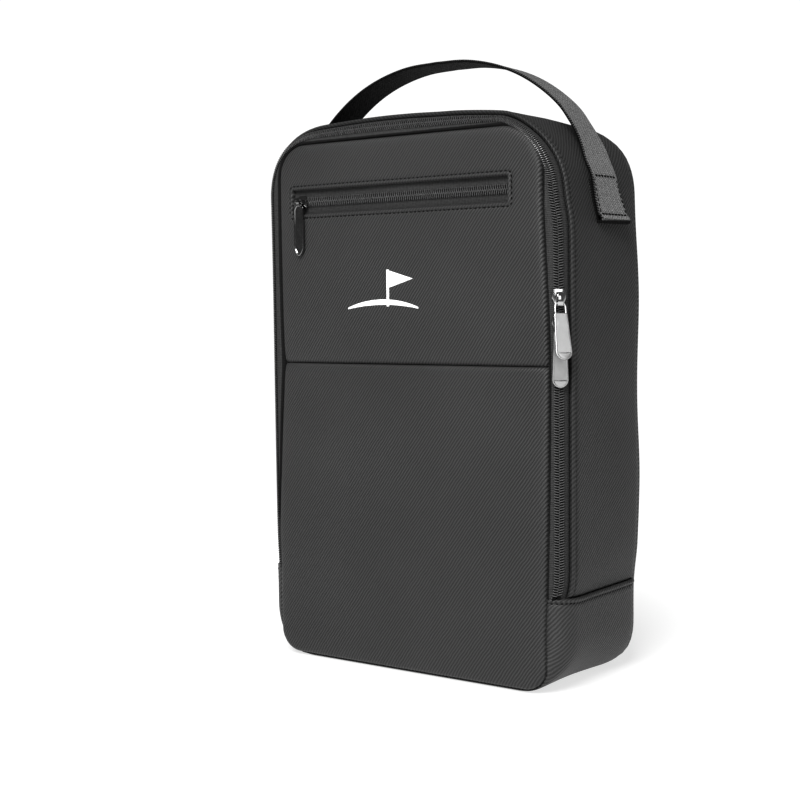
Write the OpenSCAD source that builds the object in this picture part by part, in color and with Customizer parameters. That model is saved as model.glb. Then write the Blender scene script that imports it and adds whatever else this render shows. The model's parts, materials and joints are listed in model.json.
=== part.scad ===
// Golf shoe bag: an upright soft case with a zipped front that folds down, a zipped
// front pocket, a boot around the base and a webbing carry handle over the top.
// Frame: X right, Y back, Z up. The origin is the centre of the base, on the ground.

/* [Body] */
// Width of the body
body_w = 230; // [210:1:260]
// Depth of the body, front to back
body_d = 100; // [90:1:130]
// Height of the body without its handle
body_h = 350; // [330:1:400]
// Corner radius at the top of the side strip
top_r = 46; // [40:1:55]
// Corner radius at the base
base_r = 33; // [28:1:40]
// Radius of the rounded edge around the back
back_edge_r = 9; // [7:1:12]
// Radius of the rounded edge around the front, where the zip runs
front_edge_r = 11.5; // [11:0.5:13]
// Height of the seam where the base boot starts
boot_h = 57; // [50:1:70]
// Height of the seam across the front
mid_seam_z = 197; // [185:1:210]

/* [Layers] */
// Thickness of the outer twill
fabric_t = 1.2; // [0.8:0.1:1.6]
// Thickness of the foam in the walls
foam_t = 3; // [2:0.5:4]
// Thickness of the lining
lining_t = 0.7; // [0.4:0.1:1]
// Gap left between neighbouring layers
layer_gap = 0.1; // [0.05:0.05:0.2]
// Thickness of the base board
board_t = 1.5; // [1:0.1:2]
// Thickness of the pad over the base board
pad_t = 1.3; // [1:0.1:1.4]
// Thickness of a seam binding
binding_t = 1.6; // [1.2:0.2:2]

/* [Zips] */
// Distance of the main chain's centre line inside the body's side
chain_in = 6; // [5.8:0.1:6.4]
// Distance of the main chain's centre line behind the body's front
chain_back = 4.6; // [4.4:0.1:5]
// Width of one row of teeth
teeth_w = 2.4; // [2:0.1:3]
// Thickness of the teeth
teeth_t = 1.5; // [1.2:0.1:1.6]
// Gap between the two rows of teeth
teeth_gap = 1.2; // [1:0.1:1.6]
// Thickness of the zip tapes
tape_t = 0.6; // [0.4:0.1:0.8]
// Height of the upper slider
upper_slider_z = 237.5; // [235:0.5:245]
// Height of the lower slider
lower_slider_z = 222.5; // [200:0.5:222.5]
// Outward lean of the upper pull, which rests over the lower slider
upper_pull_lean = 16.5; // [16.5:0.5:20]
// Length of a main pull below its eye
main_pull_len = 34; // [30:1:38]
// Length of the pocket pull below its eye
pocket_pull_len = 34; // [28:1:36]

/* [Pocket] */
// Left end of the pocket opening
pocket_x0 = -87; // [-92:1:-85]
// Right end of the pocket opening
pocket_x1 = 78.5; // [60:0.5:80]
// Height of the pocket's chain
pocket_z = 302; // [295:1:305]
// Height of the pocket opening
pocket_open_h = 15.5; // [12:0.5:16]
// Depth of the pouch below the chain
pouch_drop = 98; // [60:1:100]
// Place of the pocket slider along the chain
pocket_slider_x = -80; // [-81.5:0.5:-79]

/* [Handle] */
// Width of the webbing
web_w = 26.5; // [20:0.5:30]
// Thickness of the webbing
web_t = 2; // [1.5:0.1:2.2]
// Height of the handle's highest point
handle_top = 390; // [385:1:400]
// Height of the sewn ends' lowest edge
anchor_z0 = 283; // [278:1:290]
// Height where the webbing leaves the side
anchor_z1 = 313; // [310:1:315]

/* [Hidden] */
$fn = 64;

half_w = body_w / 2;
half_d = body_d / 2;
wall_t = fabric_t + foam_t + lining_t + 2 * layer_gap;

// The fold line that the front opens about, in the middle of the front fabric.
fold_z = boot_h + 1;
fold_y = -half_d + fabric_t / 2;
fold_gap = 0.3;

// Depths of the layers behind the front face.
front_back_y = -half_d + fabric_t;
pouch_y = -half_d + 4.3;
pouch_t = 1;
lid_foam_y = pouch_y + pouch_t + layer_gap;
lid_foam_t = 2.4;
lid_lining_y = lid_foam_y + lid_foam_t + layer_gap;
lid_back_y = lid_lining_y + lining_t;

// The main chain's centre line stands at 45 degrees on the rounded front edge.
chain_x = half_w - chain_in;
chain_y = -half_d + chain_back;
chain_turn = 45;
chain_out = [sin(chain_turn), -cos(chain_turn)];
teeth_reach = teeth_gap / 2 + teeth_w;
gusset_y0 = -half_d + front_edge_r;
gusset_y1 = half_d - back_edge_r;
back_lining_y = half_d - wall_t;
hem_w = 8;
tape_hidden = 8;

// The teeth stand on the outer face of their tape, whose middle is the chain's plane.
teeth_out = tape_t / 2 + layer_gap;

// Zip hardware, in a local frame: the chain runs along Z and -Y faces outward.
slider_l = 10;
slider_w = 8.4;
plate_t = 1;
plate_out = 2.1;
plate_in = 1.2;
lip_t = 0.6;
lip_drop = 0.9;
web_w_slider = 0.6;
bridge_w = 2.2;
bridge_l = 5.2;
bridge_top = 3.2;
bar_drop = 3.3;
bar_r = 0.75;
bar_clear = 0.1;
bar_out = 4.6;
side_bar_out = 5.2;
pull_t = 1.4;
pull_neck_w = 5.6;
pull_tip_w = 10;
pocket_pull_tip_w = 8;
pull_window = 3.7;
eye_r = 1.8;
pocket_tape_y = -half_d + 2.1;

// A circular arc in the plane, from angle a0 to a1.
function arc(cx, cy, r, a0, a1, steps = 8) =
    [for (i = [0:steps]) let (a = a0 + (a1 - a0) * i / steps) [cx + r * cos(a), cy + r * sin(a)]];

// The body's outline seen from the front, moved in by d.
function outline(d) =
    let (w = half_w - d, t = top_r - d, b = base_r - d)
    concat(
        arc(w - b, d + b, b, -90, 0),
        arc(w - t, body_h - d - t, t, 0, 90),
        arc(-w + t, body_h - d - t, t, 90, 180),
        arc(-w + b, d + b, b, 180, 270));

// A band of even thickness behind a line of points: each inner point is given by hand.
function band(outer, inner) = concat(outer, [for (i = [len(inner) - 1:-1:0]) inner[i]]);

// Extrudes a front-view shape along the depth, from y0 to y1.
module plate(y0, y1) {
    translate([0, y1, 0])
        rotate([90, 0, 0])
            linear_extrude(y1 - y0)
                children();
}

// The part of the body's outline, moved in by d, between two heights.
module front_shape(d, z0, z1)
    intersection() {
        polygon(outline(d));
        translate([-half_w, z0])
            square([body_w, z1 - z0]);
    }

// Sweeps a section up both sides and over the top, from height z0. The section is drawn
// as [distance outside the body's side, depth], so its X values are zero or less.
module over_top(z0) {
    top_c = body_h - top_r;
    for (side = [0, 1]) mirror([side, 0, 0]) {
        translate([half_w, 0, z0])
            linear_extrude(top_c - z0)
                children();
        translate([half_w - top_r, 0, top_c])
            rotate([90, 0, 0])
                rotate_extrude(angle = 90)
                    translate([top_r, 0])
                        mirror([0, 1])
                            children();
    }
    translate([-half_w + top_r, 0, body_h])
        rotate([0, 90, 0])
            mirror([1, 0, 0])
                linear_extrude(body_w - 2 * top_r)
                    children();
}

// Sweeps a section down both sides and under the base, from height z1.
module under_base(z1) {
    for (side = [0, 1]) mirror([side, 0, 0]) {
        translate([half_w, 0, base_r])
            linear_extrude(z1 - base_r)
                children();
        translate([half_w - base_r, 0, base_r])
            rotate([-90, 0, 0])
                rotate_extrude(angle = 90)
                    translate([base_r, 0])
                        children();
    }
    translate([-half_w + base_r, 0, 0])
        rotate([0, 90, 0])
            linear_extrude(body_w - 2 * base_r)
                children();
}

// A section's rectangle: u runs outward from the side, y is the depth.
module section(u0, u1, y0, y1) {
    translate([u0, y0])
        square([u1 - u0, y1 - y0]);
}

// A quarter round of wall thickness, centred at u = -r and depth y. toward is 1 for the
// back edge and -1 for the front edge.
module quarter_round(r, thick, y, toward) {
    translate([-r, y])
        intersection() {
            difference() {
                circle(r);
                circle(r - thick);
            }
            translate([0, toward > 0 ? 0 : -r])
                square(r);
        }
}

// ---- The shell ----

module side_gusset() color([0.23, 0.23, 0.24])
    over_top(boot_h + 0.2) {
        union() {
            section(-fabric_t, 0, gusset_y0, gusset_y1);
            section(-2 * fabric_t, -fabric_t / 2, gusset_y0, gusset_y0 + hem_w / 4);
        }
    }

module side_foam() color([0.5, 0.5, 0.52])
    over_top(base_r + 1)
        section(-fabric_t - layer_gap - foam_t, -fabric_t - layer_gap, gusset_y0 + hem_w + 1.5, gusset_y1);

module body_lining() color([0.12, 0.12, 0.13]) {
    outer = wall_t - lining_t;
    over_top(boot_h - 0.01)
        section(-wall_t, -outer, gusset_y0 + 2, back_lining_y + 0.01);
    under_base(boot_h)
        section(-wall_t, -outer, lid_back_y - 0.01, back_lining_y + 0.01);
    plate(back_lining_y, back_lining_y + lining_t)
        polygon(outline(outer));
    plate(lid_lining_y, lid_back_y)
        front_shape(outer, 0, boot_h);
}

module back_panel() color([0.22, 0.22, 0.23]) {
    plate(half_d - fabric_t, half_d)
        polygon(outline(back_edge_r));
    over_top(base_r)
        quarter_round(back_edge_r, fabric_t, half_d - back_edge_r, 1);
    under_base(base_r + 0.01)
        quarter_round(back_edge_r, fabric_t, half_d - back_edge_r, 1);
}

module back_foam() color([0.5, 0.5, 0.52])
    plate(back_lining_y + lining_t + layer_gap, half_d - fabric_t - layer_gap)
        polygon(outline(back_edge_r + 0.5));

module base_boot() color([0.2, 0.2, 0.21]) {
    under_base(boot_h)
        union() {
            section(-fabric_t, 0, gusset_y0, gusset_y1 - layer_gap);
            quarter_round(front_edge_r, fabric_t, gusset_y0, -1);
        }
}

module base_sheet(z0, thick)
    translate([-half_w + base_r, gusset_y0 + 1, z0])
        cube([body_w - 2 * base_r, gusset_y1 - gusset_y0 - 3, thick]);

module base_board() color([0.75, 0.75, 0.72])
    base_sheet(fabric_t + layer_gap, board_t);

module base_pad() color([0.5, 0.5, 0.52])
    base_sheet(fabric_t + board_t + 2 * layer_gap, pad_t);

module front_foot_panel() color([0.24, 0.24, 0.25])
    plate(-half_d, front_back_y)
        front_shape(front_edge_r + layer_gap, 0, fold_z - fabric_t / 2 - fold_gap);

module foot_foam() color([0.5, 0.5, 0.52])
    plate(front_back_y + layer_gap, lid_lining_y - layer_gap)
        front_shape(front_edge_r + 2, 0, boot_h);

// Where a tape starts beside the chain's centre line: side is 1 at the rear, -1 in front.
function chain_edge(side) =
    [-chain_in, chain_y] + side * (teeth_gap / 2 + 0.1) * [cos(chain_turn), sin(chain_turn)];

// The rear tape runs from the chain, under the folded edge of the side strip.
module zip_tape_rear() color([0.14, 0.14, 0.15]) {
    start = chain_edge(1);
    lip = [-2 * fabric_t - layer_gap, gusset_y0];
    over_top(fold_z)
        polygon(band(
            [start + chain_out * tape_t / 2, lip + [0, -1.2], lip + [0, tape_hidden]],
            [start - chain_out * tape_t / 2, lip + [-tape_t, -0.6], lip + [-tape_t, tape_hidden]]));
}

module chain_row(side)
    translate([-chain_in, chain_y])
        rotate(chain_turn)
            translate([side > 0 ? teeth_gap / 2 : -teeth_reach, -teeth_out - teeth_t])
                square([teeth_w, teeth_t]);

module zip_teeth_rear() color([0.06, 0.06, 0.07])
    over_top(fold_z)
        chain_row(1);

module mouth_binding() color([0.08, 0.08, 0.09])
    over_top(fold_z)
        section(-wall_t - binding_t - layer_gap, -wall_t - layer_gap, gusset_y0 + 2, gusset_y0 + hem_w);

module back_binding() color([0.08, 0.08, 0.09])
    over_top(fold_z)
        section(-wall_t - binding_t - layer_gap, -wall_t - layer_gap,
            back_lining_y - hem_w, back_lining_y - layer_gap);

module handle_end(side) color([0.13, 0.13, 0.14])
    mirror([side > 0 ? 0 : 1, 0, 0])
        translate([half_w + layer_gap, -web_w / 2, anchor_z0])
            cube([2 * web_t - 0.6, web_w, anchor_z1 - anchor_z0]);

// ---- The front, which folds down ----

module front_upper_panel() color([0.24, 0.24, 0.25])
    plate(-half_d, front_back_y)
        difference() {
            front_shape(front_edge_r, mid_seam_z + layer_gap, body_h);
            translate([pocket_x0, pocket_z - pocket_open_h / 2])
                square([pocket_x1 - pocket_x0, pocket_open_h]);
        }

// Its lower edge is the rounded fold that the front turns about.
module front_lower_panel() color([0.24, 0.24, 0.25]) {
    bead_half = half_w - front_edge_r;
    plate(-half_d, front_back_y)
        front_shape(front_edge_r, fold_z, mid_seam_z);
    translate([-bead_half, fold_y, fold_z])
        rotate([0, 90, 0])
            cylinder(r = fabric_t / 2, h = 2 * bead_half);
}

module lid_foam() color([0.5, 0.5, 0.52]) {
    plate(lid_foam_y, lid_foam_y + lid_foam_t)
        front_shape(front_edge_r + 3, fold_z, body_h);
    plate(front_back_y + layer_gap, lid_foam_y)
        front_shape(front_edge_r + 5, fold_z, mid_seam_z - 2);
}

module lid_lining() color([0.12, 0.12, 0.13])
    plate(lid_lining_y, lid_back_y)
        front_shape(front_edge_r + 1, fold_z, body_h);

module lid_binding() color([0.08, 0.08, 0.09])
    plate(lid_back_y + layer_gap, lid_back_y + layer_gap + binding_t)
        difference() {
            front_shape(front_edge_r + 1, fold_z, body_h);
            front_shape(front_edge_r + hem_w, fold_z - 1, body_h);
        }

// The front tape runs from under the edge of the front panel to the chain.
module zip_tape_front() color([0.14, 0.14, 0.15]) {
    end = chain_edge(-1);
    edge = [-front_edge_r, front_back_y + layer_gap];
    over_top(fold_z)
        polygon(band(
            [edge - [2.5, 0], edge, end + chain_out * tape_t / 2],
            [edge + [-2.5, tape_t], edge + [0, tape_t], end - chain_out * tape_t / 2]));
}

module zip_teeth_front() color([0.06, 0.06, 0.07])
    over_top(fold_z)
        chain_row(-1);

module pocket_zip_tape() color([0.14, 0.14, 0.15])
    for (side = [-1, 1])
        translate([pocket_x0 - 3, pocket_tape_y - tape_t / 2, pocket_z + (side > 0 ? 0.7 : -10)])
            cube([pocket_x1 - pocket_x0 + 6, tape_t, 10 - 0.7]);

module pocket_zip_teeth() color([0.06, 0.06, 0.07])
    for (side = [-1, 1])
        translate([pocket_x0, pocket_tape_y - teeth_out - teeth_t,
            pocket_z + (side > 0 ? teeth_gap / 2 : -teeth_reach)])
            cube([pocket_x1 - pocket_x0, teeth_t, teeth_w]);

// Crimped metal stops over both rows at each end of the chain.
module pocket_zip_stops() color([0.3, 0.3, 0.32])
    for (x = [pocket_x0 - 2, pocket_x1 + 0.1])
        translate([x, pocket_tape_y - teeth_out - 0.4, pocket_z - teeth_reach])
            cube([1.9, 0.4, 2 * teeth_reach]);

module pocket_pouch() color([0.12, 0.12, 0.13])
    translate([pocket_x0 - 4, pouch_y, pocket_z - pouch_drop])
        cube([pocket_x1 - pocket_x0 + 8, pouch_t, pouch_drop + 10]);

// A plain pennant on a pole over a small mound.
module front_emblem() color([0.93, 0.93, 0.93]) {
    pole_x = -18;
    foot_z = 233;
    plate(-half_d - 0.5, -half_d) {
        translate([pole_x, foot_z])
            square([1.8, 23]);
        polygon([[pole_x + 1.7, foot_z + 23], [pole_x + 17, foot_z + 17], [pole_x + 1.7, foot_z + 11]]);
        intersection() {
            translate([pole_x + 1, foot_z - 23])
                circle(26);
            translate([pole_x - 24, foot_z])
                square([50, 6]);
        }
    }
}

// ---- The handle ----

// Half of the webbing's centre line, from the top of its arch to where it leaves the side.
strap_half = [
    [0, handle_top - 1], [22, handle_top - 1.6], [42, handle_top - 6], [60, handle_top - 13],
    [76, handle_top - 23], [90, handle_top - 36], [102.5, handle_top - 50.5],
    [112.6, handle_top - 64.5], [117.2, anchor_z1 + 1]
];
strap_path = concat(
    [for (i = [len(strap_half) - 1:-1:1]) [-strap_half[i][0], strap_half[i][1]]],
    strap_half);

// The legs are the last three stretches at each end of the path.
leg_steps = 3;
path_last = len(strap_path) - 1;

// The unit normal of the path at point i, pointing outward.
function path_normal(i) =
    let (d = strap_path[min(i + 1, path_last)] - strap_path[max(i - 1, 0)])
    [-d[1], d[0]] / norm(d);

// The points a to b of the path, moved outward by s.
function path_side(a, b, s) = [for (i = [a:b]) strap_path[i] + path_normal(i) * s];

module webbing(a, b) color([0.13, 0.13, 0.14])
    plate(-web_w / 2, web_w / 2)
        polygon(band(path_side(a, b, web_t / 2), path_side(a, b, -web_t / 2)));

module handle_strap() webbing(leg_steps, path_last - leg_steps);

module handle_leg(side)
    mirror([side > 0 ? 0 : 1, 0, 0])
        webbing(path_last - leg_steps, path_last);

// ---- Zip sliders and pulls, in the local frame ----

module slider_shell() {
    half = slider_w / 2;
    for (s = [-1, 1]) {
        translate([s > 0 ? half - lip_t : -half, -plate_out, -slider_l / 2])
            cube([lip_t, lip_drop, slider_l]);
    }
    translate([-half, -plate_out - plate_t, -slider_l / 2])
        cube([slider_w, plate_t, slider_l]);
    translate([-half + 1, plate_in, -slider_l / 2])
        cube([slider_w - 2, plate_t - 0.2, slider_l]);
    translate([-web_w_slider / 2, -plate_out - 0.2, slider_l / 2 - 4])
        cube([web_w_slider, plate_out + plate_in + 0.4, 4]);
}

// A bridge bored across the chain near its lower end, for a pull that hangs along it.
module slider_across() {
    rim = bar_r + bar_clear + 0.7;
    slider_shell();
    difference() {
        translate([-bridge_w / 2, -bar_out - rim, -bar_drop - rim])
            cube([bridge_w, bar_out + rim - plate_out - 0.1, bridge_top + bar_drop + rim]);
        translate([-bridge_w, -bar_out, -bar_drop])
            rotate([0, 90, 0])
                cylinder(r = bar_r + bar_clear, h = 2 * bridge_w);
    }
}

// A pull whose eye has a round bar across it. The bar is on the local X axis.
module pull_across(length) {
    half = pull_neck_w / 2;
    inner = bridge_w / 2 + 0.3;
    translate([-half, 0, 0])
        rotate([0, 90, 0])
            cylinder(r = bar_r, h = pull_neck_w);
    plate(-pull_t / 2, pull_t / 2)
        difference() {
            polygon(concat(
                [[half, 0.9], [-half, 0.9], [-half, -6], [-pull_tip_w / 2 + 0.7, -9]],
                arc(0, -length + pull_tip_w / 2, pull_tip_w / 2, 180, 360, 12),
                [[pull_tip_w / 2 - 0.7, -9], [half, -6]]));
            translate([-inner, -pull_window])
                square([2 * inner, pull_window + 2]);
        }
}

// A round bar along the chain on two legs, for a pull that hangs across it.
module slider_along() {
    leg = 1.2;
    slider_shell();
    translate([0, -side_bar_out, -bridge_l / 2])
        cylinder(r = bar_r, h = bridge_l);
    for (s = [-1, 1])
        translate([-bridge_w / 2, -side_bar_out - bar_r - 0.2, s > 0 ? bridge_l / 2 - leg : -bridge_l / 2])
            cube([bridge_w, side_bar_out + bar_r + 0.2 - plate_out - 0.1, leg]);
}

// A pull with a bored eye around a bar that runs along the local X axis.
module pull_around(length) {
    eye_w = bridge_l - 2 * 1.2 - 0.6;
    half = pocket_pull_tip_w / 2;
    difference() {
        union() {
            translate([-eye_w / 2, 0, 0])
                rotate([0, 90, 0])
                    cylinder(r = eye_r, h = eye_w);
            translate([-eye_w / 2, -pull_t / 2, -4])
                cube([eye_w, pull_t, 4]);
            plate(-pull_t / 2, pull_t / 2)
                polygon(concat(
                    [[half - 1, -3.4], [-half + 1, -3.4], [-half, -7]],
                    arc(0, -length + half, half, 180, 360, 12),
                    [[half, -7]]));
        }
        translate([-eye_w, 0, 0])
            rotate([0, 90, 0])
                cylinder(r = bar_r + bar_clear, h = 2 * eye_w);
    }
}

// Puts a local piece on the main chain at a height.
module on_main_chain(z)
    translate([chain_x, chain_y, z])
        rotate([0, 0, chain_turn])
            children();

module upper_slider() color([0.42, 0.42, 0.44])
    on_main_chain(upper_slider_z)
        slider_across();

module upper_pull() color([0.55, 0.55, 0.57])
    on_main_chain(upper_slider_z - bar_drop)
        translate([0, -bar_out, 0])
            rotate([-upper_pull_lean, 0, 0])
                pull_across(main_pull_len);

module lower_slider() color([0.42, 0.42, 0.44])
    on_main_chain(lower_slider_z)
        slider_across();

module lower_pull() color([0.55, 0.55, 0.57])
    on_main_chain(lower_slider_z - bar_drop)
        translate([0, -bar_out, 0])
            pull_across(main_pull_len);

module pocket_slider() color([0.2, 0.2, 0.21])
    translate([pocket_slider_x, pocket_tape_y, pocket_z])
        rotate([0, 90, 0])
            slider_along();

module pocket_pull() color([0.3, 0.3, 0.31])
    translate([pocket_slider_x, pocket_tape_y - side_bar_out, pocket_z])
        pull_around(pocket_pull_len);

side_gusset();
side_foam();
body_lining();
back_panel();
back_foam();
base_boot();
base_board();
base_pad();
front_foot_panel();
foot_foam();
zip_tape_rear();
zip_teeth_rear();
mouth_binding();
back_binding();
handle_end(-1);  // handle_end_left
handle_end(1);  // handle_end_right
front_upper_panel();
front_lower_panel();
lid_foam();
lid_lining();
lid_binding();
zip_tape_front();
zip_teeth_front();
pocket_zip_tape();
pocket_zip_teeth();
pocket_zip_stops();
pocket_pouch();
front_emblem();
handle_strap();
handle_leg(-1);  // handle_leg_left
handle_leg(1);  // handle_leg_right
upper_slider();
upper_pull();
lower_slider();
lower_pull();
pocket_slider();
pocket_pull();
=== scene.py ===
"""Golf shoe bag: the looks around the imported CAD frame. All geometry below is worked out in
millimetres in the CAD's own frame (X right, Y back, Z up) and turned into metres in add_mesh."""
import json
import math
import bmesh
import bpy
import numpy as np
from mathutils import Matrix, Vector


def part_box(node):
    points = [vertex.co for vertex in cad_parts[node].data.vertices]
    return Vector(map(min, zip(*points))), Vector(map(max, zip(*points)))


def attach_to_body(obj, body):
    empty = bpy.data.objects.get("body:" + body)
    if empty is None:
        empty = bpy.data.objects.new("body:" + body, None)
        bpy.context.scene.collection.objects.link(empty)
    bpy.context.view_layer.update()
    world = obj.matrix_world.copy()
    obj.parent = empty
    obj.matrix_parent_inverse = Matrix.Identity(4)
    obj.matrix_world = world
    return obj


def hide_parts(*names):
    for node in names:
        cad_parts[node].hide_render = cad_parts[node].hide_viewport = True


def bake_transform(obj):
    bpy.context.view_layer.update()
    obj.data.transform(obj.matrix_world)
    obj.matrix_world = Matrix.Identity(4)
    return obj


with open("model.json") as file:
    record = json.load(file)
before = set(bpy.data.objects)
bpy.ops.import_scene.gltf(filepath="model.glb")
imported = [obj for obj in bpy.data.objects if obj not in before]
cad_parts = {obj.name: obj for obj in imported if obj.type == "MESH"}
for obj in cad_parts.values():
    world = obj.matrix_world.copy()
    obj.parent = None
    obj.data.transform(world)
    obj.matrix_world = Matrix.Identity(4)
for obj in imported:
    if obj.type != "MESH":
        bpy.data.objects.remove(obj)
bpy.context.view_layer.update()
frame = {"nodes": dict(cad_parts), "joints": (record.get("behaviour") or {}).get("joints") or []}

MM = 0.001
CLOTH_MAP = "cloth"          # the UV map that holds each cloth's own width and length, in metres


# ---------------------------------------------------------------- sizes taken from the frame

def low(node):
    return np.array(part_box(node)[0]) / MM


def high(node):
    return np.array(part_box(node)[1]) / MM


JOINTS = {j["name"]: j for j in frame["joints"]}
HALF_W = high("side_gusset")[0]
BODY_H = high("side_gusset")[2]
HALF_D = high("back_panel")[1]
BOOT_H = high("base_boot")[2]
GUSSET_BACK = high("side_gusset")[1]
CREASE_X = high("front_upper_panel")[0]
CREASE_TOP = high("front_upper_panel")[2]
SEAM_Z = high("front_lower_panel")[2]
EDGE_IN = HALF_W - CREASE_X
FOLD = np.array(JOINTS["lid_fold"]["pos_m"]) / MM
TOP_R = 46.0                 # corner radius of the body's outline at the top
BASE_R = 33.0                # and at the base
POCKET_Z = np.mean([low("pocket_zip_teeth")[2], high("pocket_zip_teeth")[2]])
POCKET_X = (low("pocket_zip_teeth")[0], high("pocket_zip_teeth")[0])
POCKET_HALF = 7.75           # half the height of the pocket's window
TURN = math.radians(45)      # the main chain stands at 45 degrees on the rounded front edge
OUT = np.array([math.sin(TURN), -math.cos(TURN)])       # outward, as (side, depth)
ACROSS = np.array([math.cos(TURN), math.sin(TURN)])     # towards the back, as (side, depth)
BAR_OUT = 4.6                # a main slider's bar stands this far off the chain's plane
BAR_DROP = 3.3               # and this far below the slider's middle
UPPER_BAR = np.array(JOINTS["upper_pull_swing"]["pos_m"]) / MM
LOWER_BAR = np.array(JOINTS["lower_pull_swing"]["pos_m"]) / MM
POCKET_BAR = np.array(JOINTS["pocket_pull_swing"]["pos_m"]) / MM
POCKET_BAR_OUT = 5.2
CHAIN = UPPER_BAR[:2] - BAR_OUT * OUT - np.array([HALF_W, 0])   # (side, depth) of the chain
POCKET_TAPE_Y = POCKET_BAR[1] + POCKET_BAR_OUT
UPPER_LEAN = math.radians(16.5)


# ---------------------------------------------------------------- camera

CAM_AZIMUTH, CAM_ELEVATION, CAM_ROLL = 34.16, 3.59, -0.55   # degrees
CAM_DISTANCE = 899.0         # from a point at mid height on the body's axis
CAM_LENS = 61.5
CAM_SHIFT = (-0.0596, -0.0061)


def make_camera():
    az, el, roll = (math.radians(a) for a in (CAM_AZIMUTH, CAM_ELEVATION, CAM_ROLL))
    back = Vector((math.sin(az) * math.cos(el), -math.cos(az) * math.cos(el), math.sin(el)))
    right = (-back).cross(Vector((0, 0, 1))).normalized()
    up = right.cross(-back)
    right, up = (right * math.cos(roll) + up * math.sin(roll),
                 up * math.cos(roll) - right * math.sin(roll))
    data = bpy.data.cameras.new("camera")
    data.lens = CAM_LENS
    data.shift_x, data.shift_y = CAM_SHIFT
    data.clip_start = 0.05
    camera = add_object("camera", data)
    place = (Vector((0, 0, BODY_H / 2)) + back * CAM_DISTANCE) * MM
    camera.matrix_world = Matrix.Translation(place) @ Matrix((right, up, back)).transposed().to_4x4()
    bpy.context.scene.camera = camera


# ---------------------------------------------------------------- materials

class Shader:
    """A Principled material and short ways to add nodes to it."""

    def __init__(self, name, **settings):
        self.material = bpy.data.materials.new(name)
        self.material.use_nodes = True
        self.nodes = self.material.node_tree.nodes
        self.links = self.material.node_tree.links
        self.bsdf = self.nodes["Principled BSDF"]
        for socket, value in settings.items():
            self.bsdf.inputs[socket.replace("_", " ")].default_value = value

    def put(self, target, value):
        if isinstance(value, bpy.types.NodeSocket):
            self.links.new(value, target)
        else:
            target.default_value = value

    def math(self, operation, a, b=0.0, clamp=False):
        node = self.nodes.new("ShaderNodeMath")
        node.operation = operation
        node.use_clamp = clamp
        self.put(node.inputs[0], a)
        self.put(node.inputs[1], b)
        return node.outputs[0]

    def total(self, *terms):
        """The sum of (value, weight) terms."""
        out = 0.0
        for value, weight in terms:
            out = self.math("ADD", self.math("MULTIPLY", value, weight), out)
        return out

    def cloth_axes(self):
        """The cloth's own width and length at this point, in metres."""
        uv = self.nodes.new("ShaderNodeUVMap")
        uv.uv_map = CLOTH_MAP
        split = self.nodes.new("ShaderNodeSeparateXYZ")
        self.links.new(uv.outputs[0], split.inputs[0])
        return split.outputs[0], split.outputs[1], uv.outputs[0]

    def place(self):
        return self.nodes.new("ShaderNodeTexCoord").outputs["Object"]

    def noise(self, vector, scale, detail=2.0, rough=0.5):
        node = self.nodes.new("ShaderNodeTexNoise")
        node.inputs["Scale"].default_value = scale
        node.inputs["Detail"].default_value = detail
        node.inputs["Roughness"].default_value = rough
        self.links.new(vector, node.inputs["Vector"])
        return node.outputs["Fac"]

    def ramp(self, fac, stops):
        node = self.nodes.new("ShaderNodeValToRGB")
        self.links.new(fac, node.inputs[0])
        elements = node.color_ramp.elements
        while len(elements) < len(stops):
            elements.new(0.5)
        for element, (position, colour) in zip(elements, stops):
            element.position = position
            element.color = (*colour, 1)
        return node.outputs[0]

    def bump(self, height, distance, strength):
        node = self.nodes.new("ShaderNodeBump")
        node.inputs["Strength"].default_value = strength
        node.inputs["Distance"].default_value = distance
        self.links.new(height, node.inputs["Height"])
        return node.outputs[0]

    def shades(self, fac, base, *stops, warm=0.0, socket="Base Color"):
        """Colours a socket by fac: each stop is a position and a factor on the base grey."""
        colours = [(position, grey(min(1.0, base * factor), warm)) for position, factor in stops]
        self.links.new(self.ramp(fac, colours), self.bsdf.inputs[socket])

    def rough(self, value, scale, start):
        """Roughness that runs from start as value grows."""
        self.links.new(self.total((value, scale), (1.0, start)), self.bsdf.inputs["Roughness"])

    def uneven(self, height, distance, strength):
        """A raised surface: distance is how far a height of 1 stands out, in metres."""
        self.links.new(self.bump(height, distance, strength), self.bsdf.inputs["Normal"])

    def wave(self, position, pitch):
        """A sine from 0 to 1 that repeats every pitch metres."""
        turns = self.math("MULTIPLY", position, 2 * math.pi / pitch)
        return self.math("ADD", self.math("MULTIPLY", self.math("SINE", turns), 0.5), 0.5)


def grey(value, warm=0.0):
    return (value * (1 + warm), value, value * (1 - warm))


def twill(name, base, across=0.8, depth=0.0003):
    """Diagonal ribs of fine yarn, with a soft sheen and a slightly uneven dye."""
    s = Shader(name, Roughness=0.5, Sheen_Weight=0.05, Sheen_Roughness=0.4, Specular_IOR_Level=0.3)
    u, v, uv = s.cloth_axes()
    wander = s.math("SUBTRACT", s.noise(uv, 130, 2), 0.5)
    rib = s.wave(s.total((u, across), (v, 0.6), (wander, 0.0011)), 0.00172)
    yarn = s.wave(s.math("SUBTRACT", u, v), 0.0014)
    fine = s.noise(uv, 2600, 1)
    patches = s.noise(s.place(), 14, 3)
    tone = s.total((rib, 0.55), (fine, 0.3), (patches, 0.25))
    s.shades(tone, base, (0.2, 0.55), (0.52, 1.0), (0.88, 1.7))
    s.rough(fine, 0.14, 0.42)
    s.uneven(s.total((rib, 0.8), (s.math("MULTIPLY", yarn, rib), 0.15), (fine, 0.25)), depth, 0.9)
    return s.material


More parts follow.
